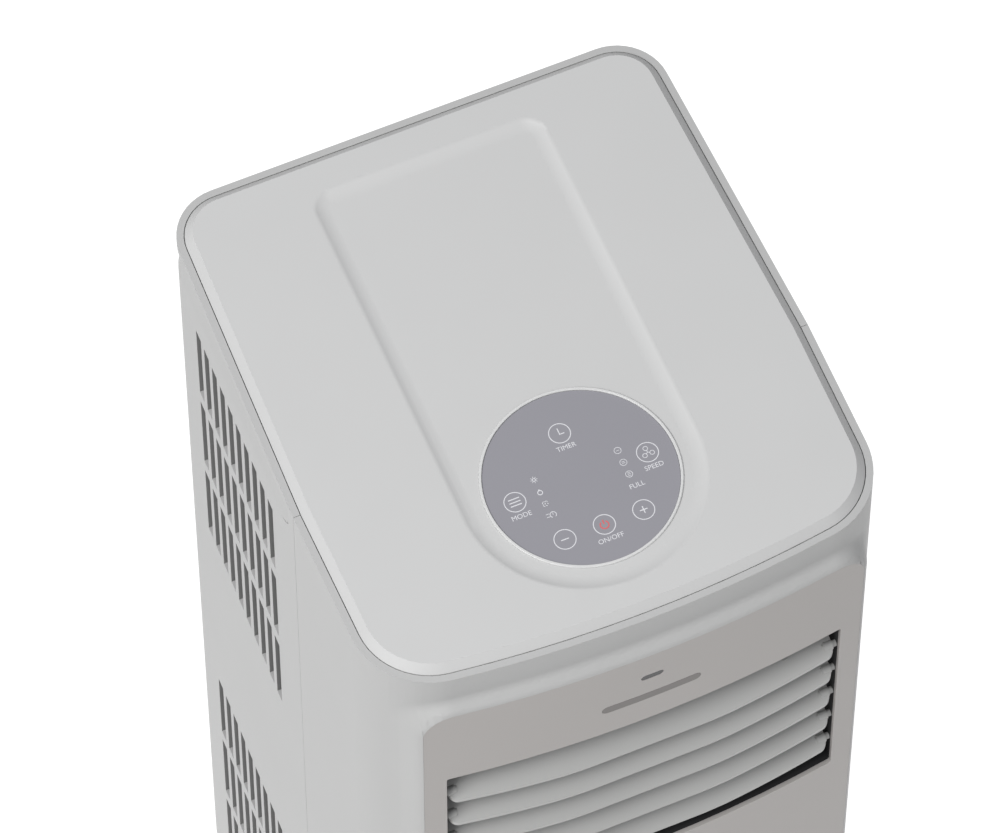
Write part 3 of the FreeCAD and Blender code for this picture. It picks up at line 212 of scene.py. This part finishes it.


# materials for the finishes of the real thing; some colours also carry painted light or shade

plastics = {
    # light grey ABS from a spark-eroded mould: satin, with a fine even grain and hardly any change of colour
    "shell_plastic": {"name": "lightGreyAbs", "colour": "#b5b5b4",
        "rough": 0.5, "grain": 0.8, "depth": 0.012},
    # painted light and shade: the top cover and the housings are one grey ABS; the cover keeps the paler
    # colour that suits the lit top, the housings the darker colour that suits their walls
    "cover_plastic": {"name": "coverAbs", "colour": "#c6c6c5",
        "rough": 0.46, "grain": 0.8, "depth": 0.010},
    # warm grey ABS of the fascia, smoother and satin
    "panel_plastic": {"name": "warmGreyAbs", "colour": "#aba7a4",
        "rough": 0.42, "grain": 0.9, "depth": 0.008},
    "louver_plastic": {"name": "bladeAbs", "colour": "#b2b2b0",
        "rough": 0.4, "grain": 0.9, "depth": 0.006},
    # plain polypropylene of the parts inside: dull, with the waxy look of an unpainted moulding
    "dark_plastic": {"name": "darkPolypropylene", "colour": "#2c2c2d",
        "rough": 0.55, "grain": 1.2, "depth": 0.02},
    "black_plastic": {"name": "blackPolypropylene", "colour": "#28282a",
        "rough": 0.5, "grain": 1.2, "depth": 0.02},
    "badge_grey": {"name": "paintedPlate", "colour": "#6f6b68",
        "rough": 0.38, "grain": 0.7, "depth": 0.004},
    # polished trim and windows: a clear highlight and almost no grain
    "ring_gloss": {"name": "polishedAbs", "colour": "#d2d2d1",
        "rough": 0.25, "grain": 2.0, "depth": 0.002},
    "lens_gloss": {"name": "smokedPolycarbonate", "colour": "#1e1e21",
        "rough": 0.12, "grain": 3.0, "depth": 0.001},
    "touch_glass": {"name": "backPrintedAcrylic", "colour": "#929197",
        "rough": 0.36, "grain": 3.0, "depth": 0.002},
    # expanded foam: beads a few millimetres across, quite matt
    "foam_grey": {"name": "polystyreneFoam", "colour": "#636363",
        "rough": 0.9, "grain": 3.5, "depth": 0.25},
    "rubber_black": {"name": "mouldedRubber", "colour": "#1d1d1d",
        "rough": 0.75, "grain": 1.0, "depth": 0.03},
    "caster_plastic": {"name": "casterNylon", "colour": "#2d2d2e",
        "rough": 0.45, "grain": 1.0, "depth": 0.015},
    "caster_tyre": {"name": "tyrePolyurethane", "colour": "#3c3c3d",
        "rough": 0.6, "grain": 1.2, "depth": 0.03},
    # baked enamel of the compressor: glossy, with a slight orange peel
    "black_enamel": {"name": "bakedEnamel", "colour": "#181818",
        "rough": 0.25, "grain": 4.0, "depth": 0.05},
    "circuit_board": {"name": "solderMask", "colour": "#1f6b3a",
        "rough": 0.35, "grain": 1.5, "depth": 0.02},
}


moulding = {
    "cloud": 70,         # mm across the faint clouds of colour in a large moulding
    "drift": 0.02,       # how much they lighten or darken it
    "uneven": 0.05,      # how far the roughness wanders
    "ior": 1.46,
}


def mouldedPlastic(look):
    material, tree = newMaterial(look["name"])
    place = addNode(tree, "TexCoord").outputs["Object"]
    grain = addNode(tree, "TexNoise", {"Vector": place, "Scale": 1 / (look["grain"] * mm), "Detail": 3})
    cloud = addNode(tree, "TexNoise", {"Vector": place, "Scale": 1 / (moulding["cloud"] * mm), "Detail": 2})
    drift = addNode(tree, "MapRange", {
        "Value": cloud.outputs["Fac"], "To Min": 1 - moulding["drift"], "To Max": 1 + moulding["drift"]})
    tint = addNode(tree, "HueSaturation", {"Color": linear(look["colour"]), "Value": drift.outputs[0]})
    polish = addNode(tree, "MapRange", {
        "Value": grain.outputs["Fac"],
        "To Min": look["rough"] - moulding["uneven"], "To Max": look["rough"] + moulding["uneven"]})
    relief = addNode(tree, "Bump", {"Height": grain.outputs["Fac"], "Distance": look["depth"] * mm})
    shade = addNode(tree, "BsdfPrincipled", {
        "Base Color": tint.outputs[0], "Roughness": polish.outputs[0],
        "Normal": relief.outputs[0], "IOR": moulding["ior"]})
    addNode(tree, "OutputMaterial", {"Surface": shade.outputs[0]})
    return material


metals = {
    # rolled or drawn stock, with faint streaks in the roughness
    "steel_can": {"name": "zincPlatedSteel", "colour": "#b4b6b8",
        "rough": 0.35, "grain": 1.2, "depth": 0.01},
    "screw_steel": {"name": "zincScrew", "colour": "#b9b9b6",
        "rough": 0.3, "grain": 0.5, "depth": 0.01},
    "copper_pipe": {"name": "drawnCopper", "colour": "#c77f5e",
        "rough": 0.32, "grain": 1.0, "depth": 0.01},
}


metalSheen = {"smoother": 0.08, "rougher": 0.12}    # how far a metal's roughness wanders either way


def workedMetal(look):
    material, tree = newMaterial(look["name"])
    place = addNode(tree, "TexCoord").outputs["Object"]
    grain = addNode(tree, "TexNoise", {"Vector": place, "Scale": 1 / (look["grain"] * mm), "Detail": 4})
    polish = addNode(tree, "MapRange", {
        "Value": grain.outputs["Fac"],
        "To Min": look["rough"] - metalSheen["smoother"], "To Max": look["rough"] + metalSheen["rougher"]})
    relief = addNode(tree, "Bump", {"Height": grain.outputs["Fac"], "Distance": look["depth"] * mm})
    shade = addNode(tree, "BsdfPrincipled", {
        "Base Color": linear(look["colour"]), "Metallic": 1.0, "Roughness": polish.outputs[0],
        "Normal": relief.outputs[0]})
    addNode(tree, "OutputMaterial", {"Surface": shade.outputs[0]})
    return material


fins = {
    # thin upright aluminium sheets, with painted shade for the gaps between them
    "name": "rolledAluminiumFins",
    "low": "#121315",
    "lowUpTo": 0.45,
    "high": "#9da1a6",
    "highFrom": 0.7,
    "pitch": 1.8,        # mm, the real fins' spacing
    "depth": 0.6,
    "rough": 0.4,
    "metallic": 0.7,
}
netting = {
    # square nylon net of the dust filter: round strands, with painted shade for the holes between them
    "name": "wovenNylonNet",
    "low": "#0c0c0d",
    "lowUpTo": 0.6,
    "high": "#5a5b5d",
    "highFrom": 0.8,
    "pitch": 1.6,        # mm, about twice the real net's, which would be too fine to see
    "depth": 0.3,
    "rough": 0.6,
    "metallic": 0.0,
}


def ripple(tree, along, pitch):
    turned = addNode(tree, "Math", {0: along, 1: 2 * math.pi / (pitch * mm)}, operation="MULTIPLY")
    wave = addNode(tree, "Math", {0: turned.outputs[0]}, operation="SINE")
    return addNode(tree, "MapRange", {"Value": wave.outputs[0], "From Min": -1}).outputs[0]


def stripesWithShade(look, drawHeight):
    material, tree = newMaterial(look["name"])
    place = addNode(tree, "SeparateXYZ", {0: addNode(tree, "TexCoord").outputs["Object"]})
    height = drawHeight(tree, place.outputs, look["pitch"])
    tint = addNode(tree, "ValToRGB", {"Fac": height})
    # the low colour is painted shade in the gaps, the high colour the material's own
    low, high = tint.color_ramp.elements
    low.position = look["lowUpTo"]
    low.color = linear(look["low"])
    high.position = look["highFrom"]
    high.color = linear(look["high"])
    relief = addNode(tree, "Bump", {"Height": height, "Distance": look["depth"] * mm})
    shade = addNode(tree, "BsdfPrincipled", {
        "Base Color": tint.outputs[0], "Metallic": look["metallic"], "Roughness": look["rough"],
        "Normal": relief.outputs[0]})
    addNode(tree, "OutputMaterial", {"Surface": shade.outputs[0]})
    return material


def finHeight(tree, place, pitch):
    along = addNode(tree, "Math", {0: place["X"], 1: place["Y"]}, operation="ADD")
    return ripple(tree, along.outputs[0], pitch)


def netHeight(tree, place, pitch):
    weft = ripple(tree, place["X"], pitch)
    warp = ripple(tree, place["Z"], pitch)
    return addNode(tree, "Math", {0: weft, 1: warp}, operation="MAXIMUM").outputs[0]


finishes = {slot: mouldedPlastic(look) for slot, look in plastics.items()}
finishes.update({slot: workedMetal(look) for slot, look in metals.items()})
finishes["fin_aluminium"] = stripesWithShade(fins, finHeight)
finishes["mesh_fabric"] = stripesWithShade(netting, netHeight)
nodeSlot = {}
for name, node in nodes.items():
    nodeSlot[name] = node.material_slots[0].material.name.split(".")[0]
    node.material_slots[0].material = finishes[nodeSlot[name]]
print(len(finishes), "materials")


# outer parts, as smooth pieces with softened edges

refining = {
    "weld": 0.002,       # mm
    "flat": 0.5,         # degrees under which faces count as one plane
    "crisp": 30,         # degrees over which an edge stays an edge
    "soften": 38,        # degrees over which an edge is rounded off
    "rounds": 2,         # segments in a softened edge
}
refined = {
    # node: radius of its softened edges, mm
    "rear_housing": 0.0,
    "front_housing": 0.0,
    "front_panel": 0.35,
    "top_cover": 0.0,
    "control_ring": 0.25,
    "control_disc": 0.2,
    "name_badge": 0.15,
    "receiver_lens": 0.15,
    "outlet_frame": 0.3,
    "louver_1": 0.0,
    "louver_2": 0.0,
    "louver_3": 0.0,
    "louver_4": 0.0,
    "louver_5": 0.0,
    "base_pan": 0.0,
    "exhaust_collar": 0.4,
    "intake_grille": 0.3,
}


def addPiece(mesh, name, body, slot, finish=None):
    piece = bpy.data.objects.new(name, mesh)
    scene.collection.objects.link(piece)
    mesh.materials.append(finish or finishes[slot])
    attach(piece, body)
    return piece


def copyMerged(name):
    work = bmesh.new()
    work.from_mesh(nodes[name].data)
    bmesh.ops.remove_doubles(work, verts=work.verts, dist=refining["weld"] * mm)
    bmesh.ops.dissolve_limit(
        work, angle_limit=math.radians(refining["flat"]), verts=work.verts, edges=work.edges)
    return work


def addSkin(work, name, softened):
    for face in work.faces:
        face.smooth = True
    for edge in work.edges:
        edge.smooth = edge.calc_face_angle(0) < math.radians(refining["crisp"])
    mesh = bpy.data.meshes.new(name + "_skin")
    work.to_mesh(mesh)
    work.free()
    if "custom_normal" in mesh.attributes:
        mesh.attributes.remove(mesh.attributes["custom_normal"])
    piece = addPiece(mesh, name + "_skin", nodes[name]["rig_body"], nodeSlot[name])
    if softened:
        soften = piece.modifiers.new("soften", "BEVEL")
        soften.width = softened * mm
        soften.segments = refining["rounds"]
        soften.limit_method = "ANGLE"
        soften.angle_limit = math.radians(refining["soften"])
        soften.harden_normals = True
    level = piece.modifiers.new("level", "WEIGHTED_NORMAL")
    level.keep_sharp = True
    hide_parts(name)
    return piece


shoulder = {
    # mm; the soft slope above the fascia carries on round its two top corners and down its sides
    "bowCentre": 636.0,
    "wallBow": 800.0,
    "fasciaBow": 806.0,
    "cornerCentre": (104.19, -111.78),
    "cornerRadius": 45.0,
    "bowEnd": 110.4,         # where the bowed wall runs into the corner
    "round": (110.5, 726.4), # centre of the fascia's rounded top corner
    "crease": 18.0,          # its radius
    "slope": 11.0,           # width of the slope outside it
    "foot": 84.0,            # the slope dies out from footTop down to here
    "footTop": 100.0,
    "touch": 0.35,           # what counts as lying on the housing's face
    "early": 0.05,           # and as lying on the crease
    "cutWidth": 0.001,
    "weld": 0.01,
    "backFacing": -0.02,     # faces turned further back than this end up behind the new face
    "acrossCuts": (106, 110.5, 114, 118, 122, 125.5, 128.6, 130.3, 132, 133.7, 135.4, 137.1, 139.5),
    "levelCuts": (84, 88, 92, 96, 100, 726.4, 729, 731.6, 734.2, 736.8, 739.4, 742, 744.4,
                  745.8, 747.2, 748.6, 750, 751.4, 752.8, 754.2, 755.4),
}
# the slope's section: share of its width against share of its height
slopeLine = interpolate_bezier((0, 1), (0.45, 0.9), (0.35, 0.033), (1, 0), 40)


def standOut(reach):
    share = min(max((reach - shoulder["crease"]) / shoulder["slope"], 0), 1)
    for a, b in zip(slopeLine, slopeLine[1:]):
        if share <= b.x:
            return a.y + (b.y - a.y) * (share - a.x) / (b.x - a.x)
    return 0


def bowFace(x, radius):
    return shoulder["bowCentre"] - math.sqrt(radius ** 2 - x ** 2)


def wallFace(x):
    if x < shoulder["bowEnd"]:
        return bowFace(x, shoulder["wallBow"])
    centre = shoulder["cornerCentre"]
    return centre[1] - math.sqrt(max(shoulder["cornerRadius"] ** 2 - (x - centre[0]) ** 2, 0))


def shapeShoulders(work):
    cuts = [((s * x * mm, 0, 0), (1, 0, 0)) for x in shoulder["acrossCuts"] for s in (-1, 1)]
    cuts += [((0, 0, z * mm), (0, 0, 1)) for z in shoulder["levelCuts"]]
    for place, across in cuts:
        everything = list(work.verts) + list(work.edges) + list(work.faces)
        bmesh.ops.bisect_plane(work, geom=everything, dist=shoulder["cutWidth"] * mm,
                               plane_co=place, plane_no=across)
    edge, top = shoulder["round"]
    fade = shoulder["footTop"] - shoulder["foot"]
    moved = set()
    for vert in work.verts:
        x, y, z = abs(vert.co.x) / mm, vert.co.y / mm, vert.co.z / mm
        reach = math.hypot(max(x - edge, 0), max(z - top, 0))
        outside = shoulder["crease"] - shoulder["early"] <= reach <= 2 * shoulder["crease"]
        reach += shoulder["slope"] * min(max((shoulder["footTop"] - z) / fade, 0), 1)
        if not outside or x < shoulder["acrossCuts"][0] or y > wallFace(x) + shoulder["touch"]:
            continue
        share = standOut(reach)
        vert.co.y = (bowFace(x, shoulder["fasciaBow"]) * share + wallFace(x) * (1 - share)) * mm
        moved.add(vert)
    bmesh.ops.triangulate(work, faces=work.faces)
    work.normal_update()
    behind = [f for f in work.faces
              if f.normal.y > shoulder["backFacing"] and moved.issuperset(f.verts)]
    bmesh.ops.delete(work, geom=behind, context="FACES_ONLY")
    bmesh.ops.remove_doubles(work, verts=work.verts, dist=shoulder["weld"] * mm)


slotSides = {
    # painted shade: the sides of the air slots get a darker, rougher finish that stands in for the shade
    # inside the slots
    "look": {"name": "slotShadeAbs", "colour": "#868685", "rough": 0.7, "grain": 0.8, "depth": 0.02},
    "inFrom": 138.0,         # mm; the slots lie further out than this, behind front and below top
    "front": -28.0,
    "top": 742.0,
    "facing": 0.9,           # how squarely a side faces forwards or back
}


def markSlotSides(work):
    for face in work.faces:
        spot = face.calc_center_median() / mm
        behindFront = spot.y > slotSides["front"]
        inSlot = abs(spot.x) > slotSides["inFrom"] and behindFront and spot.z < slotSides["top"]
        if inSlot and abs(face.normal.y) > slotSides["facing"]:
            face.material_index = 1


undersideShading = {
    # painted shade: the blades' undersides are black and quite matt, to darken the gaps between the blades
    "look": {"name": "paintedUndersideShade", "colour": "#151516", "rough": 0.95, "grain": 0.6, "depth": 0.1},
    "under": -0.35,          # faces turned further down than this
}


def markUndersides(work):
    for face in work.faces:
        if face.normal.z < undersideShading["under"]:
            face.material_index = 1


# the slot sides' darker finish is painted shade
slotShadePlastic = mouldedPlastic(slotSides["look"])
# the blades' black undersides are painted shade
undersideShade = mouldedPlastic(undersideShading["look"])
reshaping = {"front_housing": shapeShoulders, "rear_housing": markSlotSides}
secondFinish = {"rear_housing": slotShadePlastic}
for name in refined:
    if name.startswith("louver"):
        reshaping[name] = markUndersides
        secondFinish[name] = undersideShade
for name, softened in refined.items():
    work = copyMerged(name)
    if name in reshaping:
        reshaping[name](work)
    skin = addSkin(work, name, softened)
    if name in secondFinish:
        skin.data.materials.append(secondFinish[name])
print(len(refined), "outer parts refined")


# pale print on the touch disc

discLow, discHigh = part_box("control_disc")
disc = {
    # mm
    "x": (discLow.x + discHigh.x) / 2 / mm,
    "y": (discLow.y + discHigh.y) / 2 / mm,
    "top": discHigh.z / mm,
    "ringRadius": 5.9,
    "line": 0.5,
    "thin": 0.36,
    "arcStep": 9,            # degrees to a step of an arc
    "fewestSteps": 6,
    "lift": 0.004,           # each stroke above the one before, so that crossings don't coincide
    "lifts": 6,
    "label": 2.9,            # letter height
    "typeSize": 1.4,         # of the type against its letters' height
    "letterSteps": 3,
    "labelDrop": 9.1,        # label under its key
}
ink = {
    "thickness": 0.05,       # mm, thick enough to catch an edge
    "pale": "#dadadd",
    "red": "#d2686a",
    "speckle": 0.6,          # mm
    "uneven": 0.06,
    "rough": 0.5,
}
keys = {
    # label and place of each round key, mm from the disc's middle
    "TIMER": (0, 29),
    "SPEED": (38.6, 0),
    "MODE": (-38.4, 0),
    "ON/OFF": (0, -31),
}
plainKeys = [(-22.8, -31), (22.8, -31)]
looseLabels = {"FULL": (25.5, -16)}
signs = {
    # mm from the middle of each sign's key
    "clock": {"left": 0.2, "below": 0.6, "above": 3.0, "right": 2.2, "line": 0.55},
    "bars": {"half": 2.9, "rises": (-2.0, 0, 2.0), "line": 0.6},
    "fan": {"turns": (95, 215, 335), "out": 2.5, "lobe": 1.25, "stalk": 1.3},
    "plus": {"half": 1.9, "line": 0.6},
    "power": {"below": 0.2, "radius": 2.3, "start": 125, "end": 415, "stem": (0.6, 2.6), "line": 0.75},
}
modes = {
    # a column of small signs, mm from the disc's middle
    "x": -23.8,
    "sun": {"y": 8.4, "radius": 0.8, "line": 0.35, "rayStart": 1.2, "rayEnd": 1.9, "rayLine": 0.3},
    "drop": {"y": 0.0, "radius": 1.3, "line": 0.5, "tip": 1.9, "aside": 0.7, "cheek": 1.0, "tipLine": 0.45},
    "fan": {"y": -7.3, "out": 1.0, "blade": 0.75, "bladeEnd": 270, "line": 0.32},
    "night": {"y": -14.8, "right": 1.2, "radius": 1.7, "start": -60, "end": 240, "line": 0.4, "hand": 1.0,
              "dash": (-2.4, -1.0), "dashLevels": (-13.6, -15.4), "dashLine": 0.35},
}
speeds = {
    # a column of rings with one, two and three bars
    "x": 24.3,
    "levels": (7.2, -0.6, -8.3),
    "radius": 1.9,
    "ringLine": 0.32,
    "half": 0.7,
    "pitch": 0.9,
    "line": 0.3,
}


def nextLift(work):
    return (len(work.faces) % disc["lifts"]) * disc["lift"]


def strokeLine(work, start, end, width):
    lift = nextLift(work)
    a = Vector((start[0], start[1], lift))
    b = Vector((end[0], end[1], lift))
    run = b - a
    turn = Matrix.Rotation(math.atan2(run.y, run.x), 4, "Z")
    size = Matrix.Diagonal((run.length + width, width, 1, 1))
    bmesh.ops.create_grid(work, x_segments=1, y_segments=1, size=0.5,
                          matrix=Matrix.Translation((a + b) / 2) @ turn @ size)


def strokeArc(work, centre, radius, start, end, width):
    a = math.radians(start)
    toward = Vector((math.cos(a), math.sin(a), 0))
    middle = Vector((centre[0], centre[1], nextLift(work)))
    ends = [work.verts.new(middle + toward * (radius + s * width / 2)) for s in (-1, 1)]
    edge = work.edges.new(ends)
    steps = max(disc["fewestSteps"], int(abs(end - start) / disc["arcStep"]))
    bmesh.ops.spin(work, geom=ends + [edge], cent=middle, axis=(0, 0, 1), dvec=(0, 0, 0),
                   space=Matrix.Identity(4), angle=math.radians(end - start), steps=steps,
                   use_merge=abs(end - start) == 360, use_normal_flip=False, use_duplicate=False)


def drawKeys(work):
    for x, y in list(keys.values()) + plainKeys:
        strokeArc(work, (x, y), disc["ringRadius"], 0, 360, disc["line"])
    x, y = keys["TIMER"]
    clock = signs["clock"]
    corner = (x - clock["left"], y - clock["below"])
    strokeLine(work, corner, (x - clock["left"], y + clock["above"]), clock["line"])
    strokeLine(work, corner, (x + clock["right"], y - clock["below"]), clock["line"])
    x, y = keys["MODE"]
    bars = signs["bars"]
    for rise in bars["rises"]:
        strokeLine(work, (x - bars["half"], y + rise), (x + bars["half"], y + rise), bars["line"])
    x, y = keys["SPEED"]
    fan = signs["fan"]
    for turn in fan["turns"]:
        a = math.radians(turn)
        lobe = (x + fan["out"] * math.cos(a), y + fan["out"] * math.sin(a))
        stalk = (x + fan["stalk"] * math.cos(a), y + fan["stalk"] * math.sin(a))
        strokeArc(work, lobe, fan["lobe"], 0, 360, disc["thin"])
        strokeLine(work, (x, y), stalk, disc["thin"])
    plus = signs["plus"]
    for x, y in plainKeys:
        strokeLine(work, (x - plus["half"], y), (x + plus["half"], y), plus["line"])
    x, y = plainKeys[1]
    strokeLine(work, (x, y - plus["half"]), (x, y + plus["half"]), plus["line"])


def drawSun(work, x, sun):
    for turn in range(0, 180, 45):
        a = math.radians(turn)
        out = Vector((math.cos(a), math.sin(a)))
        for s in (-1, 1):
            start = (x + s * out.x * sun["rayStart"], sun["y"] + s * out.y * sun["rayStart"])
            end = (x + s * out.x * sun["rayEnd"], sun["y"] + s * out.y * sun["rayEnd"])
            strokeLine(work, start, end, sun["rayLine"])
    strokeArc(work, (x, sun["y"]), sun["radius"], 0, 360, sun["line"])


def drawDrop(work, x, drop):
    strokeArc(work, (x, drop["y"]), drop["radius"], 0, 360, drop["line"])
    for s in (1, -1):
        strokeLine(work, (x, drop["y"] + drop["tip"]),
                   (x + s * drop["aside"], drop["y"] + drop["cheek"]), drop["tipLine"])


def drawFan(work, x, fan):
    for turn in (45, 135, 225, 315):
        a = math.radians(turn)
        hub = (x + fan["out"] * math.cos(a), fan["y"] + fan["out"] * math.sin(a))
        strokeArc(work, hub, fan["blade"], 0, fan["bladeEnd"], fan["line"])


def drawNight(work, x, night):
    face = (x + night["right"], night["y"])
    strokeArc(work, face, night["radius"], night["start"], night["end"], night["line"])
    strokeLine(work, face, (face[0], face[1] + night["hand"]), night["dashLine"])
    start, end = night["dash"]
    for level in night["dashLevels"]:
        strokeLine(work, (x + start, level), (x + end, level), night["dashLine"])


def drawModes(work):
    drawSun(work, modes["x"], modes["sun"])
    drawDrop(work, modes["x"], modes["drop"])
    drawFan(work, modes["x"], modes["fan"])
    drawNight(work, modes["x"], modes["night"])


def drawSpeeds(work):
    x = speeds["x"]
    for step, y in enumerate(speeds["levels"]):
        strokeArc(work, (x, y), speeds["radius"], 0, 360, speeds["ringLine"])
        for k in range(step + 1):
            drop = (k - step / 2) * speeds["pitch"]
            strokeLine(work, (x - speeds["half"], y + drop), (x + speeds["half"], y + drop), speeds["line"])


def drawPower(work):
    x, y = keys["ON/OFF"]
    power = signs["power"]
    foot, top = power["stem"]
    strokeArc(work, (x, y - power["below"]), power["radius"], power["start"], power["end"], power["line"])
    strokeLine(work, (x, y + foot), (x, y + top), power["line"])


def printInk(colour, name):
    material, tree = newMaterial(name)      # screen-printed ink: matt, a little uneven in its cover
    place = addNode(tree, "TexCoord").outputs["Object"]
    speckle = addNode(tree, "TexNoise", {"Vector": place, "Scale": 1 / (ink["speckle"] * mm), "Detail": 2})
    cover = addNode(tree, "MapRange", {
        "Value": speckle.outputs["Fac"], "To Min": 1 - ink["uneven"], "To Max": 1 + ink["uneven"]})
    tint = addNode(tree, "HueSaturation", {"Color": linear(colour), "Value": cover.outputs[0]})
    shade = addNode(tree, "BsdfPrincipled", {"Base Color": tint.outputs[0], "Roughness": ink["rough"]})
    addNode(tree, "OutputMaterial", {"Surface": shade.outputs[0]})
    return material


def labelMesh(text, centre):
    curve = bpy.data.curves.new("label", "FONT")
    curve.body = text
    curve.size = disc["label"] * disc["typeSize"]
    curve.align_x = "CENTER"
    curve.align_y = "CENTER"
    curve.resolution_u = disc["letterSteps"]
    holder = bpy.data.objects.new("label", curve)
    scene.collection.objects.link(holder)
    bpy.context.view_layer.update()
    mesh = bpy.data.meshes.new_from_object(holder.evaluated_get(bpy.context.evaluated_depsgraph_get()))
    mesh.transform(Matrix.Translation((centre[0], centre[1], 0)))
    bpy.data.objects.remove(holder)
    return mesh


def addPrint(work, name, material):
    placed = Matrix.Translation(Vector((disc["x"], disc["y"], disc["top"])) * mm) @ Matrix.Scale(mm, 4)
    bmesh.ops.transform(work, matrix=placed, verts=work.verts)
    work.normal_update()
    for face in work.faces:
        if face.normal.z < 0:
            face.normal_flip()
    mesh = bpy.data.meshes.new(name)
    work.to_mesh(mesh)
    work.free()
    piece = addPiece(mesh, name, "body", "touch_glass", material)
    thicken = piece.modifiers.new("thicken", "SOLIDIFY")
    thicken.thickness = ink["thickness"] * mm
    thicken.offset = 1


def addDiscPrint():
    work = bmesh.new()
    drawKeys(work)
    drawModes(work)
    drawSpeeds(work)
    labels = {name: (x, y - disc["labelDrop"]) for name, (x, y) in keys.items()}
    labels.update(looseLabels)
    for text, centre in labels.items():
        work.from_mesh(labelMesh(text, centre))
    addPrint(work, "disc_print", printInk(ink["pale"], "paleScreenInk"))
    work = bmesh.new()
    drawPower(work)
    addPrint(work, "disc_power_print", printInk(ink["red"], "redScreenInk"))


addDiscPrint()
print("disc printed")
